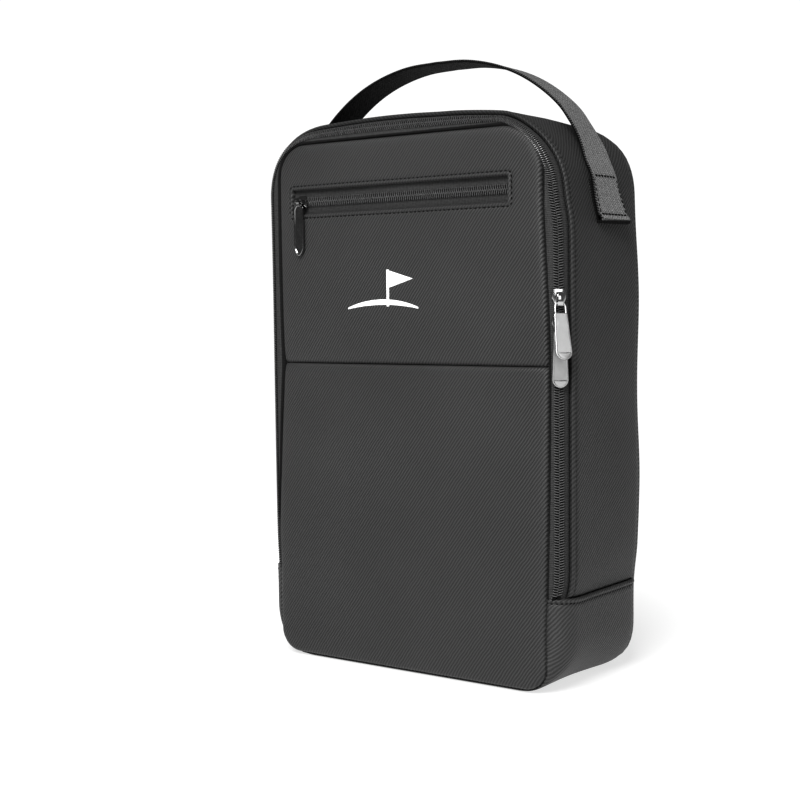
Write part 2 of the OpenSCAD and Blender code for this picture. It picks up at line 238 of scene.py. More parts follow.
def plain_weave(name, base, pitch):
    """A flat over-and-under weave."""
    s = Shader(name, Roughness=0.5, Sheen_Weight=0.1, Sheen_Roughness=0.4, Specular_IOR_Level=0.3)
    u, v, uv = s.cloth_axes()
    weave = s.math("ABSOLUTE", s.math("SUBTRACT", s.wave(u, pitch), s.wave(v, pitch)))
    fuzz = s.noise(uv, 1800, 2)
    s.shades(s.total((weave, 0.6), (fuzz, 0.4)), base, (0.2, 0.7), (0.8, 1.4))
    s.uneven(s.total((weave, 1.0), (fuzz, 0.4)), 0.00012, 0.8)
    return s.material


def ribbed_tape(name, base, pitch, sunk=0.0):
    """Narrow tape with ribs across its length, as on a zip or a seam binding. sunk is how much
    of it is darkened as painted shade, in metres before the point where the cloth map's width is 0."""
    s = Shader(name, Roughness=0.7, Sheen_Weight=0.03, Sheen_Roughness=0.5, Specular_IOR_Level=0.25)
    u, v, uv = s.cloth_axes()
    fuzz = s.noise(uv, 2200, 2)
    height = s.total((s.wave(v, pitch), 1.0), (s.wave(u, pitch * 0.8), 0.5))
    tone = s.total((height, 0.25), (fuzz, 0.3), (s.noise(uv, 700, 2), 0.5))
    # Painted shade: the tape's last sunk metres before width 0 are darkened, for the shadow in the gap
    # beside the front's edge.
    if sunk:
        near = s.math("DIVIDE", s.math("ADD", u, sunk), 0.0009, clamp=True)
        tone = s.total((tone, 1.0), (s.math("MULTIPLY", near, s.math("LESS_THAN", u, 0.0)), -1.0))
    s.shades(tone, base, (0.0, 0.04), (0.3, 0.4), (0.8, 2.0))
    s.uneven(s.total((height, 1.0), (fuzz, 0.4)), 0.00018, 0.8)
    return s.material


def herringbone(name, base):
    """Heavy webbing: columns of yarn that lean left and right in turn, with a mottled dye.
    The rims and the underside, past 12.6 and 30 mm on the cloth map, are darkened as painted shade."""
    s = Shader(name, Roughness=0.65, Sheen_Weight=0.01, Sheen_Roughness=0.45, Specular_IOR_Level=0.08)
    u, v, uv = s.cloth_axes()
    column = 0.0021
    yarn = s.wave(s.math("ADD", v, s.math("PINGPONG", u, column)), 0.0016)
    fuzz = s.noise(uv, 1500, 3)
    from_middle = s.math("ABSOLUTE", u)
    # Painted shade: rim marks the strap's edges and under its hidden face, both darkened in tone.
    rim, under = (s.math("GREATER_THAN", from_middle, reach) for reach in (0.0126, 0.03))
    tone = s.total((yarn, 0.35), (fuzz, 0.3), (s.noise(uv, 420, 2), 0.35), (rim, -0.42), (under, -0.42))
    s.shades(tone, base, (0.0, 0.03), (0.25, 0.45), (0.5, 1.0), (0.8, 1.8))
    s.uneven(s.total((yarn, 1.0), (s.wave(u, 2 * column), 0.3), (fuzz, 0.5)), 0.0003, 0.8)
    return s.material


def thread(name, base):
    s = Shader(name, Roughness=0.6, Specular_IOR_Level=0.15)
    grain = s.noise(s.place(), 2500, 1)
    s.shades(grain, base, (0.3, 0.7), (0.7, 1.4))
    s.uneven(grain, 0.0001, 0.5)
    return s.material


def nylon(name, base):
    s = Shader(name, Roughness=0.3, Specular_IOR_Level=0.8)
    grain = s.noise(s.place(), 900, 2)
    s.shades(grain, base, (0.3, 0.8), (0.7, 1.3))
    s.rough(grain, 0.15, 0.2)
    return s.material


def foam(name, base):
    s = Shader(name, Roughness=0.9)
    cells = s.noise(s.place(), 1400, 3, 0.7)
    s.shades(cells, base, (0.3, 0.75), (0.7, 1.1))
    s.uneven(cells, 0.0002, 0.7)
    return s.material


def plated(name, base, roughness, wear):
    """Plated zinc: small pits and a paler worn tone in patches."""
    s = Shader(name, Metallic=1.0, Roughness=roughness)
    worn = s.noise(s.place(), 260, 4, 0.6)
    s.shades(worn, base, (0.35, 1.0), (0.62, 1.05), (0.8, wear))
    s.rough(worn, 0.2, roughness - 0.1)
    s.uneven(s.noise(s.place(), 1600, 3), 0.00004, 0.35)
    return s.material


def rubber_print(name, base):
    s = Shader(name, Roughness=0.42)
    grain = s.noise(s.place(), 1700, 2)
    s.shades(grain, base, (0.3, 0.96), (0.7, 1.0))
    s.uneven(grain, 0.00006, 0.4)
    return s.material


def sheet_plastic(name, base):
    s = Shader(name, Roughness=0.5)
    grain = s.noise(s.place(), 220, 3)
    s.shades(grain, base, (0.3, 0.92), (0.7, 1.0), warm=0.02)
    s.uneven(grain, 0.00008, 0.4)
    return s.material


TWILL = twill("twill_cloth", 0.038)
# Painted light in the base greys: TWILL_SIDE is a darker copy of TWILL as painted shade on the side strip,
# with shallower ribs, and TWILL_BOOT a lighter copy as painted light from the floor on the boot; both turn
# the ribs to another angle.
TWILL_SIDE = twill("twill_side_cloth", 0.031, 0.55, 0.0002)
TWILL_BOOT = twill("twill_boot_cloth", 0.043, 0.55)
WEBBING = herringbone("webbing_cloth", 0.175)
TAPE = ribbed_tape("tape_cloth", 0.03, 0.0011)
# Painted shade on its last 5.6 mm before the front's crease, for the shadow in the gap there.
TAPE_FRONT = ribbed_tape("front_tape_cloth", 0.03, 0.0011, sunk=0.0056)
BINDING = ribbed_tape("binding_cloth", 0.022, 0.0016)
LINING = plain_weave("lining_cloth", 0.028, 0.0009)
COIL = nylon("coil_nylon", 0.08)
THREAD = thread("stitch_thread", 0.003)
CORD = thread("coil_cord", 0.0015)
FOAM = foam("wall_foam", 0.32)
BOARD = sheet_plastic("board_plastic", 0.6)
SATIN = plated("satin_gunmetal", 0.45, 0.38, 1.35)
POLISHED = plated("polished_gunmetal", 0.48, 0.14, 1.4)
NICKEL = plated("black_nickel", 0.24, 0.15, 1.8)
PRINT = rubber_print("white_print", 0.86)


# ---------------------------------------------------------------- lines and meshes

def smoothstep(a, b, x):
    t = np.clip((np.asarray(x, float) - a) / (b - a), 0, 1)
    return t * t * (3 - 2 * t)


def run_length(points):
    return np.r_[0, np.cumsum(np.linalg.norm(np.diff(points, axis=0), axis=1))]


def at_lengths(line, s, where):
    """Values at the lengths where of a line whose run lengths are s."""
    return np.stack([np.interp(where, s, column) for column in line.T], -1)


def unit(vectors):
    return vectors / np.linalg.norm(vectors, axis=-1, keepdims=True)


def smooth_line(points, step):
    """A curve through the points, with a point about every step."""
    p = np.array(points, float)
    t = run_length(p)
    m = np.empty_like(p)
    m[1:-1] = (p[2:] - p[:-2]) / (t[2:] - t[:-2])[:, None]
    m[0] = (p[1] - p[0]) / (t[1] - t[0])
    m[-1] = (p[-1] - p[-2]) / (t[-1] - t[-2])
    out = []
    for i in range(len(p) - 1):
        h = t[i + 1] - t[i]
        n = max(1, int(math.ceil(h / step)))
        s = (np.arange(n) / n)[:, None]
        out.append(p[i] * (2 * s**3 - 3 * s**2 + 1) + p[i + 1] * (3 * s**2 - 2 * s**3)
                   + h * (m[i] * (s**3 - 2 * s**2 + s) + m[i + 1] * (s**3 - s**2)))
    out.append(p[-1:])
    return np.vstack(out)


def curve_of(points):
    """A smooth function through (x, value) points."""
    line = smooth_line(points, 0.08)
    return lambda x: np.interp(x, line[:, 0], line[:, 1])


def spread(line, count):
    """The same line with count points, evenly apart."""
    s = run_length(line)
    return at_lengths(line, s, np.linspace(0, s[-1], count))


def line_normals(line):
    d = np.gradient(line, axis=0)
    return unit(np.c_[-d[:, 1], d[:, 0]])


def ribbon(line, thick):
    """The closed section of a thin strip that follows a line."""
    line = np.asarray(line, float)
    n = line_normals(line) * thick / 2
    return np.vstack([line + n, (line - n)[::-1]])


def ripple(x, y, z, seed, shortest=38.0, longest=120.0, waves=7):
    """Smooth unevenness between about -1 and 1."""
    rng = np.random.RandomState(seed)
    total = 0
    for _ in range(waves):
        k = rng.normal(size=3)
        k *= 2 * math.pi / rng.uniform(shortest, longest) / np.linalg.norm(k)
        total = total + np.sin(k[0] * x + k[1] * y + k[2] * z + rng.uniform(0, 2 * math.pi))
    return total / math.sqrt(waves)


crown = curve_of([(-122, -0.4), (-100, 0.2), (-75, 1.5), (-50, 2.8), (-25, 3.5), (0, 3.3), (21, 2.5),
                  (36, 2.0), (51, 0.9), (65, -0.4), (79, -1.8), (93, -2.8), (122, -3.0)])
crown_reach = curve_of([(-60, 0.15), (-50, 0.2), (-47, 0.45), (-44, 0.75), (-39, 1), (-15, 1), (10, 0.7),
                        (35, 0.2), (60, 0)])
lean_right = curve_of([(-5, -2.2), (40, -2.6), (59, -2.4), (64, -1.2), (69, -0.4), (76, -0.1), (100, 0),
                       (130, 0.2), (268, 0.2), (283, -0.4), (290, -1.6), (298, -2.9), (318, -5.0),
                       (332, -5.9), (360, -6.2)])
lean_left = curve_of([(-5, -2.8), (40, -3.2), (60, -2.6), (80, -1.7), (120, -1.4), (250, -1.4),
                      (300, -1.0), (325, -0.4), (360, 0)])
fullness = curve_of([(-5, -1.0), (20, -0.6), (50, 0.0), (57, 0.3), (64, 1.0), (80, 2.6), (120, 2.7),
                     (190, 3.0), (260, 2.4), (300, 0.6), (325, -0.6), (360, -1.4)])


def soften(v):
    """How the sewn shape sits: full at mid height, drawn in at the seams, leaning a little to
    the left at the top, crowned over the zip and sagging behind the handle."""
    x, y, z = v.T
    near, rear = 1 - smoothstep(-20, 45, y), smoothstep(-20, 45, y)
    side = smoothstep(55, 100, np.abs(x))
    lean = np.where(x > 0, lean_right(z), -lean_left(z))
    dx = side * (near * lean + np.sign(x) * rear * (fullness(z) + 0.5 * ripple(x, y, z, 3)))
    on_top = smoothstep(290, 345, z)
    behind = smoothstep(-5, 42, y)
    dz = on_top * (crown(x) * crown_reach(y) - 3.0 * behind + 0.5 * behind * ripple(x, y, z, 5))
    for r, level, up, amount in ((TOP_R, BODY_H, 1, np.where(x < 0, 1.2 + 0.8 * near, 2.8 * rear)),
                                 (BASE_R, 0, -1, 3.0 * rear)):
        angle = np.arctan2(np.clip(up * (z - level) + r, 0, None),
                           np.clip(np.abs(x) - HALF_W + r, 1e-6, None))
        square = np.sin(2 * angle) ** 2 * amount
        dx = dx + np.sign(x) * square * np.cos(angle)
        dz = dz + up * square * np.sin(angle)
    on_back = smoothstep(38, 50, y)
    pillow = 1.8 * (1 - (x / 118) ** 2) * (1 - ((z - 178) / 185) ** 2)
    dy = on_back * (pillow + 0.5 * ripple(x, y, z, 8))
    return v + np.c_[dx, dy, dz * smoothstep(0, 4, z)]


def attach(piece, body, slot, *nodes, fill=None):
    """Makes a piece ride on a body and hides the CAD nodes it replaces. Its slot, a material
    slot, and fill, how tightly a padded piece is filled, are not used."""
    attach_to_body(piece, body)
    if nodes:
        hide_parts(*nodes)


def add_object(name, data):
    obj = bpy.data.objects.new(name, data)
    bpy.context.scene.collection.objects.link(obj)
    return obj


def shaded(mesh, material, sharp):
    """Smooth shading with creases at edges sharper than sharp degrees, as a new object."""
    mesh.shade_smooth()
    mesh.set_sharp_from_angle(angle=math.radians(sharp))
    mesh.materials.append(material)
    return add_object(mesh.name, mesh)


def add_mesh(name, verts, faces, uvs, material, soft=True, sharp=40):
    """verts are in millimetres. uvs has one (width, length) for each corner of each face."""
    verts = np.asarray(verts, float)
    if soft:
        verts = soften(verts)
    mesh = bpy.data.meshes.new(name)
    mesh.from_pydata((verts * MM).tolist(), [], faces)
    layer = mesh.uv_layers.new(name=CLOTH_MAP)
    layer.data.foreach_set("uv", (np.asarray(uvs, float) * MM).ravel())
    tidy = bmesh.new()
    tidy.from_mesh(mesh)
    bmesh.ops.recalc_face_normals(tidy, faces=tidy.faces)
    tidy.to_mesh(mesh)
    tidy.free()
    return shaded(mesh, material, sharp)


def grid_mesh(name, points, across, along, material, around=False, looped=False, caps=True, **kw):
    """A grid of points, rows by columns. around closes each row on itself and looped joins the
    last row to the first. across has a width for each column of each row, along a length for
    each row; both have one more entry where the grid closes."""
    rows, cols = points.shape[:2]
    row_steps = rows if looped else rows - 1
    col_steps = cols if around else cols - 1
    i, j = np.meshgrid(np.arange(row_steps), np.arange(col_steps), indexing="ij")
    i, j = i.ravel(), j.ravel()
    i2, j2 = (i + 1) % rows, (j + 1) % cols
    faces = np.c_[i * cols + j, i2 * cols + j, i2 * cols + j2, i * cols + j2].tolist()
    ri = np.minimum(i + 1, rows - 1)
    uvs = np.stack([
        np.c_[across[i, j], along[i]], np.c_[across[ri, j], along[i + 1]],
        np.c_[across[ri, j + 1], along[i + 1]], np.c_[across[i, j + 1], along[i]]], 1).reshape(-1, 2)
    if around and not looped and caps:
        for row in (0, rows - 1):
            faces.append([row * cols + c for c in range(cols)])
            uvs = np.vstack([uvs, np.c_[across[row, :cols], np.full(cols, along[row])]])
    return add_mesh(name, points.reshape(-1, 3), faces, uvs, material, **kw)


# ---------------------------------------------------------------- the rim: paths round the body

def stretch(a, b, normal, step):
    n = max(2, int(round(math.dist(a, b) / step)) + 1)
    t = np.linspace(0, 1, n)[:, None]
    return np.array(a) * (1 - t) + np.array(b) * t, np.tile(normal, (n, 1)).astype(float)


def bend(centre, r, a0, a1, step):
    n = max(3, int(round(abs(math.radians(a1 - a0)) * r / step)) + 1)
    a = np.radians(np.linspace(a0, a1, n))
    normals = np.c_[np.cos(a), np.sin(a)]
    return np.array(centre) + r * normals, normals


def joined(stretches):
    """Stretches end to end, each without its first point where it meets the one before."""
    return [np.vstack([part[min(i, 1):] for i, part in enumerate(parts)]) for parts in zip(*stretches)]


def round_end(z0, level, r, up, step):
    """From height z0 on the left side, round the two corners at the top (up = 1) or at the
    base (up = -1), to z0 on the right side."""
    flat, centre = HALF_W - r, level - up * r
    return joined([
        stretch((-HALF_W, z0), (-HALF_W, centre), (-1, 0), step),
        bend((-flat, centre), r, 180, 180 - 90 * up, step),
        stretch((-flat, level), (flat, level), (0, up), step),
        bend((flat, centre), r, 90 * up, 0, step),
        stretch((HALF_W, centre), (HALF_W, z0), (1, 0), step)])


def over_top(z0, step=4.0):
    return round_end(z0, BODY_H, TOP_R, 1, step)


def under_base(z0, step=4.0):
    return round_end(z0, 0, BASE_R, -1, step)


def whole_rim(step=5.0):
    """Once round the whole body, as points and their outward normals."""
    up, down = over_top(BASE_R, step), under_base(BASE_R, step)
    return [np.vstack([a, b[::-1][1:-1]]) for a, b in zip(up, down)]


def beside(points, normals, side, depth):
    """Points at a distance outside a path of (X, Z) points and at a depth, as X, Y, Z."""
    x, z = points[..., 0] + normals[..., 0] * side, points[..., 1] + normals[..., 1] * side
    return np.stack([x, np.broadcast_to(depth, x.shape), z], -1)


def sweep(name, path, section, material, looped=False, flip=False, rise=None, zero=0, **kw):
    """Carries a closed section of (side, depth) points along a rim path. section is one
    section, or one for each point of the path. flip turns the cloth's grain over, rise
    lifts points by their depth and height, and the cloth's width counts from point zero."""
    points, normals = path
    section = np.asarray(section, float)
    if section.ndim == 2:
        section = np.repeat(section[None], len(points), 0)
    grid = beside(points[:, None], normals[:, None], section[..., 0], section[..., 1])
    if rise:
        grid[..., 2] = np.maximum(grid[..., 2] + rise(grid[..., 1], grid[..., 2]), 0)
    closed = np.concatenate([section, section[:, :1]], 1)
    steps = np.linalg.norm(np.diff(closed, axis=1), axis=2)
    across = np.concatenate([np.zeros((len(points), 1)), np.cumsum(steps, 1)], 1)
    across = across - across[:, [zero]]
    along = run_length(points)
    along = np.r_[along, along[-1] + math.dist(points[-1], points[0])] if looped else along
    along = -along if flip else along
    return grid_mesh(name, grid, across, along, material, around=True, looped=looped, **kw)


# ---------------------------------------------------------------- stitches, coils and tubes

def stitch_mesh(name, line, outward, pitch=3.1, length=2.2, r=0.36, sink=0.1, **kw):
    """A row of separate stitches along a line of points, each a short raised oval. outward is
    one direction, or one for each point."""
    s = run_length(line)
    outward = np.broadcast_to(outward, line.shape)
    count = max(1, int((s[-1] - length) // pitch) + 1)
    mid = (s[-1] - (count - 1) * pitch) / 2 + pitch * np.arange(count)
    rings, sides = 5, 6
    offsets = np.linspace(-0.5, 0.5, rings) * length
    width = np.array([0.35, 0.9, 1.0, 0.9, 0.35]) * r
    lift = np.array([-1.0, 0.2, 0.45, 0.2, -1.0]) * r - sink
    where = mid[:, None] + offsets[None]
    centre = at_lengths(line, s, where)
    out = unit(at_lengths(outward, s, where))
    across = np.cross(unit(at_lengths(line, s, where + 0.3) - at_lengths(line, s, where - 0.3)), out)
    a = 2 * math.pi * np.arange(sides) / sides
    points = (centre + out * lift[None, :, None])[:, :, None, :] + width[None, :, None, None] * (
        across[:, :, None, :] * np.cos(a)[None, None, :, None]
        + out[:, :, None, :] * np.sin(a)[None, None, :, None])
    faces = []
    for base in range(0, count * rings * sides, rings * sides):
        ring = base + np.arange(rings * sides).reshape(rings, sides)
        turned = np.roll(ring, -1, 1)
        faces += np.stack([ring[:-1], turned[:-1], turned[1:], ring[1:]], -1).reshape(-1, 4).tolist()
        faces += [ring[0, ::-1].tolist(), ring[-1].tolist()]
    corners = sum(len(f) for f in faces)
    return add_mesh(name, points.reshape(-1, 3), faces, np.zeros((corners, 2)), THREAD, **kw)


def tube_points(line, reference, radius, sides):
    """Rings round a line, turned by a reference direction that is never along the line."""
    tangent = unit(np.gradient(line, axis=0))
    first = unit(reference - (reference * tangent).sum(1)[:, None] * tangent)
    second = np.cross(tangent, first)
    a = 2 * math.pi * np.arange(sides) / sides
    return line[:, None] + radius * (first[:, None] * np.cos(a)[None, :, None]
                                     + second[:, None] * np.sin(a)[None, :, None])


COIL_PITCH, COIL_STEPS, COIL_SIDES, COIL_WIRE = 1.55, 10, 6, 0.34
COIL_CORE = np.array([(0.45, 0.4), (2.5, 0.4), (2.5, 1.25), (0.45, 1.25)])   # its cord, as (across, out)
TAPE_THICK = 0.55


def coil_mesh(name, place, length, side, **kw):
    """One side of a zip's coil. place(s, across, out) gives points at a distance s along the
    chain, across it towards +side, and out from its tape."""
    turns = int(length / COIL_PITCH)
    angle = 2 * math.pi * np.arange(turns * COIL_STEPS + 1) / COIL_STEPS
    s = angle / (2 * math.pi) * COIL_PITCH + (0.25 if side > 0 else 0.75) * COIL_PITCH
    across = side * (1.38 + 1.5 * np.cos(angle))
    out = 1.1 + 0.62 * np.sin(angle)
    line = place(s, across, out)
    reference = unit(place(s + 0.5, 0 * s, 0 * s + 1.1) - place(s - 0.5, 0 * s, 0 * s + 1.1))
    points = tube_points(line, reference, COIL_WIRE, COIL_SIDES)
    across_uv = np.zeros((len(line), COIL_SIDES + 1))
    return grid_mesh(name, points, across_uv, s, COIL, around=True, **kw)


def rim_place(path):
    """A place function for coil_mesh along the main chain."""
    points, normals = path
    s = run_length(points)

    def place(where, across, out):
        side, depth = (CHAIN[k] + ACROSS[k] * across + OUT[k] * out for k in (0, 1))
        return beside(at_lengths(points, s, where), unit(at_lengths(normals, s, where)), side, depth)
    return place


# ---------------------------------------------------------------- the front's outer cloth

left_edge = curve_of([(-5, -104.8), (36, -105.1), (60, -105), (85, -105.3), (104, -104.7), (125, -103.3),
                      (150, -101.8), (171, -100.3), (190, -99.1), (197, -98.8), (220, -99.4), (250, -99.8),
                      (281, -100), (320, -100), (345, -99.8)])
right_edge = curve_of([(-5, 100.4), (20, 100.8), (41, 100.9), (59, 101.6), (100, 102.8), (150, 103.6),
                       (192, 104), (215, 103.7), (240, 102.8), (265, 101.4), (285, 100.4), (300, 100.1),
                       (320, 100), (345, 99.8)])
FRONT_Z = (2.4, CREASE_TOP + 1.1)


def rounding(z, z0, z1, r0, r1):
    """How far round corners at the ends of z0 to z1 draw an edge in at a height."""
    top, bottom = np.clip(z - (z1 - r1), 0, r1), np.clip(z0 + r0 - z, 0, r0)
    return r1 - np.sqrt(r1**2 - top**2) + r0 - np.sqrt(r0**2 - bottom**2)


def front_sides(z):
    """X of the front cloth's left and right edges at a height."""
    return left_edge(z) + rounding(z, *FRONT_Z, 15, 20), right_edge(z) - rounding(z, *FRONT_Z, 15, 28)


def front_outline(count=150):
    """The front cloth's outline, with points closest together at its top and foot."""
    z = FRONT_Z[0] + (FRONT_Z[1] - FRONT_Z[0]) * (1 - np.cos(np.linspace(0, math.pi, count))) / 2
    left, right = front_sides(z)
    return np.vstack([np.c_[left, z], np.c_[right, z][::-1]])


OUTLINE = front_outline()


def inset(x, z):
    """How far inside the front cloth's edge a point is, negative outside it."""
    shape = np.shape(x)
    p = np.stack([np.ravel(x), np.ravel(z)], -1)
    a = OUTLINE
    d = np.roll(a, -1, 0) - a
    nearest = []
    for part in np.array_split(p, len(p) // 3000 + 1):
        t = np.clip(((part[:, None] - a) * d).sum(-1) / (d**2).sum(-1), 0, 1)
        nearest.append(np.linalg.norm(part[:, None] - a - d * t[..., None], axis=-1).min(1))
    left, right = front_sides(np.clip(p[:, 1], *FRONT_Z))
    inside = (p[:, 0] >= left) & (p[:, 0] <= right) & (p[:, 1] >= FRONT_Z[0]) & (p[:, 1] <= FRONT_Z[1])
    return (np.concatenate(nearest) * np.where(inside, 1, -1)).reshape(shape)


edge_rise = curve_of([(0, 0), (0.25, 1.0), (0.8, 1.9), (1.8, 2.7), (3.5, 3.3), (6, 3.7), (10, 4.0),
                      (16, 4.15), (30, 4.2), (180, 4.2)])
seam_dip = curve_of([(0, 3.0), (0.3, 2.5), (0.8, 1.8), (1.7, 1.1), (3.2, 0.6), (6.5, 0.2), (13, 0),
                     (400, 0)])
window_dip = curve_of([(0, 1.5), (0.25, 0.4), (0.6, -0.25), (1.2, -0.6), (1.9, -0.4), (2.7, 0.5),
                       (3.4, 0.2), (5, -0.1), (9, 0), (400, 0)])


def front_depth(x, z):
    """Y of the front cloth's outer face."""
    d = np.abs(inset(x, z))
    y = -46.2 - edge_rise(d) + seam_dip(np.abs(z - SEAM_Z))
    qx = np.maximum(POCKET_X[0] - x, x - POCKET_X[1])
    qz = np.abs(z - POCKET_Z) - POCKET_HALF
    window = np.where((qx > 0) & (qz > 0), np.hypot(qx, qz), np.maximum(qx, qz))
    y = y + window_dip(np.clip(window, 0, 400))
    upper = z > SEAM_Z
    centre = np.where(upper, (SEAM_Z + CREASE_TOP) / 2, (SEAM_Z + 12) / 2)
    half = np.where(upper, (CREASE_TOP - SEAM_Z) / 2, (SEAM_Z - 12) / 2 + 8)
    across = 1 - np.clip(np.abs(x) / 106, 0, 1) ** 3
    along = 1 - np.clip(np.abs(z - centre) / half, 0, 1) ** 3
    y = y - np.where(upper, 1.0, 2.2) * across * along
    calm = smoothstep(0, 14, d) * smoothstep(0, 10, np.abs(z - SEAM_Z))
    return y + 0.32 * calm * ripple(x, 0 * x, z, 21, 45, 130)


FINE = (0.25, 0.55, 1.0, 1.7, 2.7, 4.0, 5.6)


def spaced(start, end, step, marks):
    """Positions from start to end, close together beside the marks."""
    kept = sorted({start, end, *[m for m in marks if start <= m <= end]})
    near = [m + s * d for m in marks for d in FINE for s in (-1, 1)]
    for value in [*near, *np.arange(start, end, step)]:
        gap = 0.2 if value in near else step * 0.45
        if start < value < end and min(abs(value - k) for k in kept) > gap:
            kept.append(value)
    return np.array(sorted(kept))


def plain_sides(w, z0, z1, r0, r1):
    """Edges of a rounded rectangle of half width w, as front_sides gives them."""
    def sides(z):
        x = w - rounding(z, z0, z1, r0, r1)
        return -x, x
    return sides


def front_grid(name, z0, z1, sides, depth, thick, material, marks_x=(), marks_z=(), hole=None, step=3.2,
               **kw):
    """A sheet across the front between two heights, with its thickness behind it. sides gives
    its left and right edges, depth its outer face, and hole a window (x0, x1, z0, z1)."""
    at = POCKET_Z if hole else (z0 + z1) / 2
    w = np.array(sides(np.array([at])))[:, 0]
    xs = spaced(w[0], w[1], step, [w[0], w[1], *marks_x])
    zs = spaced(z0, z1, step, [z0, z1, *marks_z])
    left, right = sides(zs)
    x = np.where(xs[None] < 0, xs[None] / w[0] * left[:, None], xs[None] / w[1] * right[:, None])
    z = np.repeat(zs[:, None], len(xs), 1)
    y = depth(x, z)
    front = np.stack([x, y, z], -1)
    rear = front + np.array([0, thick, 0])
    rows, cols = x.shape
    count = rows * cols
    verts = np.vstack([front.reshape(-1, 3), rear.reshape(-1, 3)])
    solid = np.ones((rows - 1, cols - 1), bool)
    if hole:
        mx, mz = (xs[:-1] + xs[1:]) / 2, (zs[:-1] + zs[1:]) / 2
        open_x, open_z = (mx > hole[0]) & (mx < hole[1]), (mz > hole[2]) & (mz < hole[3])
        solid &= ~(open_x[None] & open_z[:, None])
    faces, edges = [], {}
    for i, j in np.argwhere(solid).tolist():
        loop = [i * cols + j, i * cols + j + 1, (i + 1) * cols + j + 1, (i + 1) * cols + j]
        faces.append(loop)
        faces.append([k + count for k in loop[::-1]])
        for a, b in zip(loop, loop[1:] + loop[:1]):
            if (b, a) in edges:
                del edges[b, a]
            else:
                edges[a, b] = True
    faces += [[b, a, a + count, b + count] for a, b in edges]
    flat = np.concatenate(faces)
    uvs = np.c_[verts[flat, 0], -verts[flat, 2]]
    keep = np.unique(flat)
    new = np.full(len(verts), -1)
    new[keep] = np.arange(len(keep))
    faces = [[int(new[k]) for k in f] for f in faces]
    return add_mesh(name, verts[keep], faces, uvs, material, **kw)


FOLD_MARKS = [FOLD[2] - 6, FOLD[2], FOLD[2] + 6]     # closer rows where the front bends


def pieces_of_front():
    """The front's two cloths and the stitching round the pocket's window."""
    def cloth(name, z0, z1, **kw):
        return front_grid(name, z0, z1, front_sides, front_depth, 1.3, TWILL, soft=False, **kw)

    window = (POCKET_X[0], POCKET_X[1], POCKET_Z - POCKET_HALF, POCKET_Z + POCKET_HALF)
    off = 2.7
    x0, x1, z0, z1 = window[0] - off, window[1] + off, window[2] - off, window[3] + off
    upper = cloth("front_upper_cloth", SEAM_Z + 0.25, FRONT_Z[1], hole=window,
                  marks_x=[window[0], window[1], x0, x1], marks_z=[window[2], window[3], z0, z1])
    attach(upper, "lid", "twill", "front_upper_panel", fill=0.5)
    lower = cloth("front_lower_cloth", FRONT_Z[0], SEAM_Z - 0.25, marks_z=FOLD_MARKS)
    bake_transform(lower)
    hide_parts("front_lower_panel", "front_foot_panel")

    corner = 1.8
    loop = np.array([(x0, z0 + corner), (x0, z1 - corner), (x0 + corner, z1), (x1 - corner, z1),
                     (x1, z1 - corner), (x1, z0 + corner), (x1 - corner, z0), (x0 + corner, z0),
                     (x0, z0 + corner)])
    dense = np.vstack([np.linspace(a, b, 60)[:-1] for a, b in zip(loop, loop[1:])] + [loop[-1:]])
    line = np.c_[dense[:, 0], front_depth(dense[:, 0], dense[:, 1]), dense[:, 1]]
    seam = stitch_mesh("window_stitching", line, (0, -1, 0), pitch=3.2, length=2.4, r=0.5, soft=False)
    attach(seam, "lid", "twill")


# ---------------------------------------------------------------- side strip, boot and back

def crease_side(path, depth=-47.5):
    """For each point of a rim path, how far to its side the front cloth's edge is."""
    points, normals = path
    u = np.arange(-0.4, -26, -0.2)
    flat = soften(beside(points[:, None], normals[:, None], u, depth).reshape(-1, 3))
    inside = inset(flat[:, 0], flat[:, 2]).reshape(len(points), len(u)) >= 0
    return u[np.argmax(inside, 1)]


def boot_rise(y, z):
    """How much higher the boot's top edge runs towards the front."""
    return 1.4 * smoothstep(-22, -48, y) * smoothstep(BOOT_H - 26, BOOT_H, z)


def pieces_of_side_strip():
    """The cloth over the sides and the top, folded back beside the zip and drawn in under the boot."""
    start = BOOT_H + 6
    left = stretch((-HALF_W, BOOT_H - 9), (-HALF_W, start), (-1, 0), 0.5)
    right = stretch((HALF_W, start), (HALF_W, BOOT_H - 9), (1, 0), 0.5)
    path = joined([left, over_top(start), right])
    fold = [(-3.1, -30.5), (-2.9, -34.5), (-2.4, -38.0), (-1.5, -39.5), (-0.4, -39.75), (0.45, -39.2),
            (0.8, -38.2), (0.65, -37.1), (-0.3, -36.1), (0.5, -34.8), (0.8, -31), (0.9, -20), (0.9, 0),
            (0.9, 20), (0.7, 33), (0.3, 38), (-0.9, 40.6), (-2.3, 41.4)]
    inner = [(-2.5, 39.8), (-1.9, 37), (-1.6, 20), (-1.6, 0), (-1.6, -20), (-1.8, -29.8)]
    outer, inner = smooth_line(fold, 1.6), smooth_line(inner, 6)
    tuck = curve_of([(0, 2.6), (BOOT_H + 1.5, 2.4), (BOOT_H + 1.8, 1.4), (BOOT_H + 2.1, 0.7),
                     (BOOT_H + 2.7, 0.25), (BOOT_H + 3.6, 0), (400, 0)])
    rise = boot_rise(outer[:, 1], BOOT_H)
    sections = [np.vstack([outer - np.c_[tuck(z - rise), 0 * rise], inner]) for z in path[0][:, 1]]
    side = sweep("side_cloth", path, sections, TWILL_SIDE)
    attach(side, "shell", "twill", "side_gusset", fill=0.4)
    edge = over_top(BOOT_H + 2, 3.0)
    outward = beside(0 * edge[1], edge[1], 1, 0)
    row = stitch_mesh("side_stitching", beside(*edge, -0.15, -36.1), outward, r=0.48)
    attach(row, "shell", "twill")


